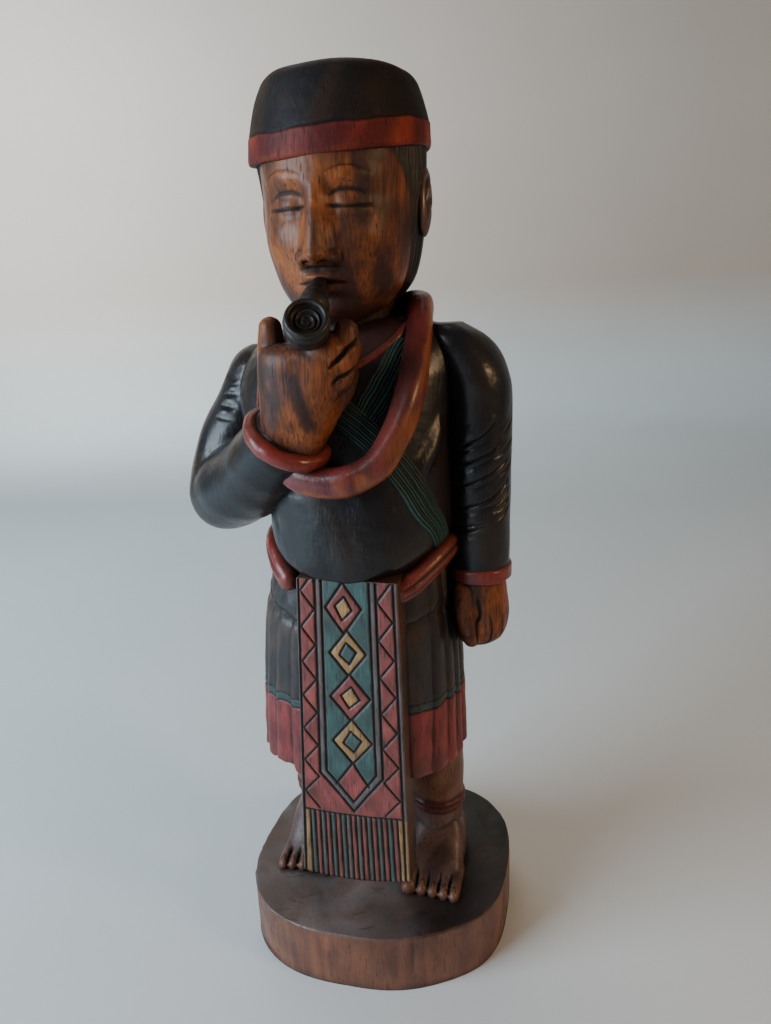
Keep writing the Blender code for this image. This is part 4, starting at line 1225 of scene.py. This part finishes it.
strap("short_sash", [(41, -40, 409), (37.6, -44.7, 403.6), (32, -53.4, 390.1), (25.7, -58.8, 379.2),
                     (19.1, -63.3, 368.1), (13, -67, 359)], 9, 1.3, 8, 2)
strap("long_sash", [(-9, -66, 377), (2.9, -66.2, 370.3), (13, -66.4, 363.3), (21.7, -65.8, 355.6),
                    (31.8, -64.5, 345.3), (41.7, -63.1, 332.2), (46.8, -57.9, 319.8), (52.4, -53.7, 307.3),
                    (57.2, -44.2, 293.9), (61, -36, 280)], 8.8, 2.3, 10, 1)


# Legs and feet
FEET = ((45, 0, 1, "left"), (-54, 5, -1, "right"))
TOE_WIDTHS = (12, 8.6, 8.2, 7.8, 7.4)


def make_foot(foot_x, back, outward_x, name):
    rows = [(33, 26, 12), (30, 30, 15), (18, 44, 19), (0, 48, 21), (-14, 36, 21.3), (-27, 22, 21.3),
            (-37, 15, 20.0)]
    rows = spline(rows, 60)
    a = 2 * math.pi * np.arange(70) / 70
    across, up = superellipse(a, 2.4)
    rings = np.stack([foot_x + rows[:, 2:3] * across, rows[:, :1] + back + 0 * across,
                      rows[:, 1:2] / 2 + rows[:, 1:2] / 2 * up], -1)
    parts = [skin("foot", rings)]
    edge = -outward_x * sum(TOE_WIDTHS) / 2
    middles = []
    for number, width in enumerate(TOE_WIDTHS):
        middle = foot_x + edge + outward_x * width / 2
        edge += outward_x * width
        reach = back - 40 - 0.7 * number
        middles.append((middle, width, reach))
        toe = [(middle, back - 18, 12, width / 2 + 0.9), (middle, reach + 6, 10, width / 2 + 0.8),
               (middle, reach, 8, width / 2 + 0.3)]
        parts.append(tube("toe", toe, 20, 24, flat=(1, 1.3)))
    leg_x = foot_x - 2 * outward_x
    leg = [(20, leg_x, 9, 19, 20), (52, leg_x, 9, 19.4, 20), (54.5, leg_x, 9, 21.6, 22.4),
           (58, leg_x, 9, 19.8, 20.5), (61.5, leg_x, 9, 21.8, 22.6), (64, leg_x, 9, 19.8, 20.5),
           (90, leg_x, 7, 20.6, 22.5), (130, leg_x * 0.93, 3, 24, 28)]
    parts.append(upright("leg", leg, 90, 130))
    obj = fuse(f"{name}_leg", parts, 1.1, 8)
    r = Relief(obj)
    for middle, width, reach in middles[:-1]:
        x = middle + outward_x * width / 2
        r.stroke([(x, back - 30, 16), (x, back - 35, 13), (x, reach + 1, 9), (x, reach - 6, 4)], 1.4,
                 -1.6, 1.0, 0.25)
    for x, width, reach in middles:
        nail = width * 0.28
        r.stroke([(x - nail, reach - 1, 13.6), (x, reach + 3.4, 14.6), (x + nail, reach - 1, 13.6)],
                 0.8, -0.5, 0.8, 0.2)
    uneven(r, 24, 0.3, 121)
    band = (smoothstep(r.co[:, 2], 52, 54) * smoothstep(r.co[:, 2], 66, 64))[:, None]
    high = smoothstep(r.co[:, 2] + 4 * waver(r.co, 15, 122), 40, 70)[:, None]
    fleck = blotches(r.co, 16, 123, -0.5, 0.9, 0.6)
    paint = blend(high, (0.120, 0.070, 0.062), (0.125, 0.048, 0.022))
    paint = paint * (1 - 0.5 * fleck) + high * fleck * np.array((0.110, 0.046, 0.018))
    tip = 0.6 * smoothstep(r.co[:, 1], back - 37, back - 43)[:, None]
    paint = blend(tip, paint, (0.17, 0.070, 0.035))
    mark(obj, "paint", blend(band, paint, (0.085, 0.015, 0.014)))
    return finish(r.apply(), LEG_PAINT)


for foot in FEET:
    make_foot(*foot)


# Floor, light and camera
def area(name, place, target, size, power, colour):
    light = bpy.data.lights.new(name, 'AREA')
    light.size = size
    light.energy = power
    light.color = colour
    obj = bpy.data.objects.new(name, light)
    obj.location = place
    obj.rotation_euler = (Vector(target) - Vector(place)).to_track_quat('-Z', 'Y').to_euler()
    bpy.context.scene.collection.objects.link(obj)


def make_stage():
    """A round floor that curves up to a wall all round, with the studio's lights, and with light and shade
    painted into its colour.
    """
    level, curve, top = 2.2, 1.3, 3.4
    rows = [(radius, 0.0) for radius in (0.02, 0.5, 1.0, 1.6, level)]
    rows += [(level + curve * math.sin(t), curve - curve * math.cos(t))
             for t in np.linspace(0.08, math.pi / 2, 16)]
    rows += [(level + curve, top)]
    around = 96
    verts = [(radius * math.cos(a), radius * math.sin(a), z) for radius, z in rows
             for a in 2 * math.pi * np.arange(around) / around]
    faces = [tuple(range(around))]
    faces += [(r * around + i, r * around + (i + 1) % around, (r + 1) * around + (i + 1) % around,
               (r + 1) * around + i) for r in range(len(rows) - 1) for i in range(around)]
    mesh = bpy.data.meshes.new("floor")
    mesh.from_pydata(verts, [], faces)
    for polygon in mesh.polygons:
        polygon.use_smooth = True
    floor = bpy.data.objects.new("floor", mesh)
    bpy.context.scene.collection.objects.link(floor)
    n = Nodes("pale floor")
    spot = n.add("ShaderNodeTexCoord", {}, 3)
    high = n.add("ShaderNodeSeparateXYZ", {"Vector": spot}, 2)
    side = n.add("ShaderNodeVectorMath", {0: spot, 1: (0.8, -0.6, 0)}, 1, operation='DOT_PRODUCT')
    tone = n.mix(n.step(n.noise(n.where((1, 1, 1)), 3, 2), 0.3, 0.7), (0.97, 0.97, 0.97), (1, 1, 1))
    # Painted light: the floor is bluer and brighter towards the back left and greyer towards the front right
    ground_with_painted_light = n.mix(n.step(side, -1.1, 0.25), (0.77, 0.92, 1.0), (0.61, 0.62, 0.62))
    # Painted light and shade: the wall is paler towards the back left and browner elsewhere
    wall = n.mix(n.step(side, -3.3, -1.5), (0.76, 0.72, 0.68), (0.59, 0.51, 0.44))
    wall = n.mix(n.step(high, 0.02, 0.5), ground_with_painted_light, wall)
    # Painted shade: the wall is dark towards the front right
    wall = n.mix(n.step(side, 0.3, 3.2), n.mix(1.0, wall, tone, 'MULTIPLY'), (0.36, 0.32, 0.28))
    n.set(n.shader.inputs["Base Color"], wall)
    n.set(n.shader.inputs["Roughness"], 0.7)
    mesh.materials.append(n.material)
    world = bpy.data.worlds.new("studio")
    world.use_nodes = True
    world.node_tree.nodes["Background"].inputs[0].default_value = (1.0, 0.94, 0.86, 1)
    world.node_tree.nodes["Background"].inputs[1].default_value = 0.14
    bpy.context.scene.world = world
    area("window", (-1.35, -1.15, 0.85), (0, 0, 0.25), 1.1, 60, (0.70, 0.86, 1.0))
    area("lamp", (1.3, -0.35, 0.8), (0, 0, 0.35), 0.3, 8, (1.0, 0.64, 0.34))
    area("top", (-0.6, 0.9, 2.2), (0, 0, 0.3), 1.2, 8, (1.0, 0.94, 0.86))
    area("wall wash", (-1.6, 1.4, 1.5), (-1.9, 3.4, 0.9), 0.8, 30, (1.0, 0.98, 0.95))


make_stage()


CAMERA_PLACE = (0.1396, -0.4776, 0.477)
CAMERA_TURN = (15, 16.6, 2.28)  # heading, pitch and roll, in degrees
LENS = 25.98


def make_camera():
    heading, pitch, roll = (math.radians(degrees) for degrees in CAMERA_TURN)
    ahead = Vector((-math.sin(heading), math.cos(heading), 0))
    right = Vector((math.cos(heading), math.sin(heading), 0))
    up = ahead * math.sin(pitch) + Vector((0, 0, math.cos(pitch)))
    view = ahead * math.cos(pitch) - Vector((0, 0, math.sin(pitch)))
    x = right * math.cos(roll) - up * math.sin(roll)
    y = right * math.sin(roll) + up * math.cos(roll)
    data = bpy.data.cameras.new("camera")
    data.lens = LENS
    data.sensor_width = 36
    camera = bpy.data.objects.new("camera", data)
    turn = Matrix((x, y, -view)).transposed().to_4x4()
    camera.matrix_world = Matrix.Translation(CAMERA_PLACE) @ turn
    bpy.context.scene.collection.objects.link(camera)
    bpy.context.scene.camera = camera


make_camera()
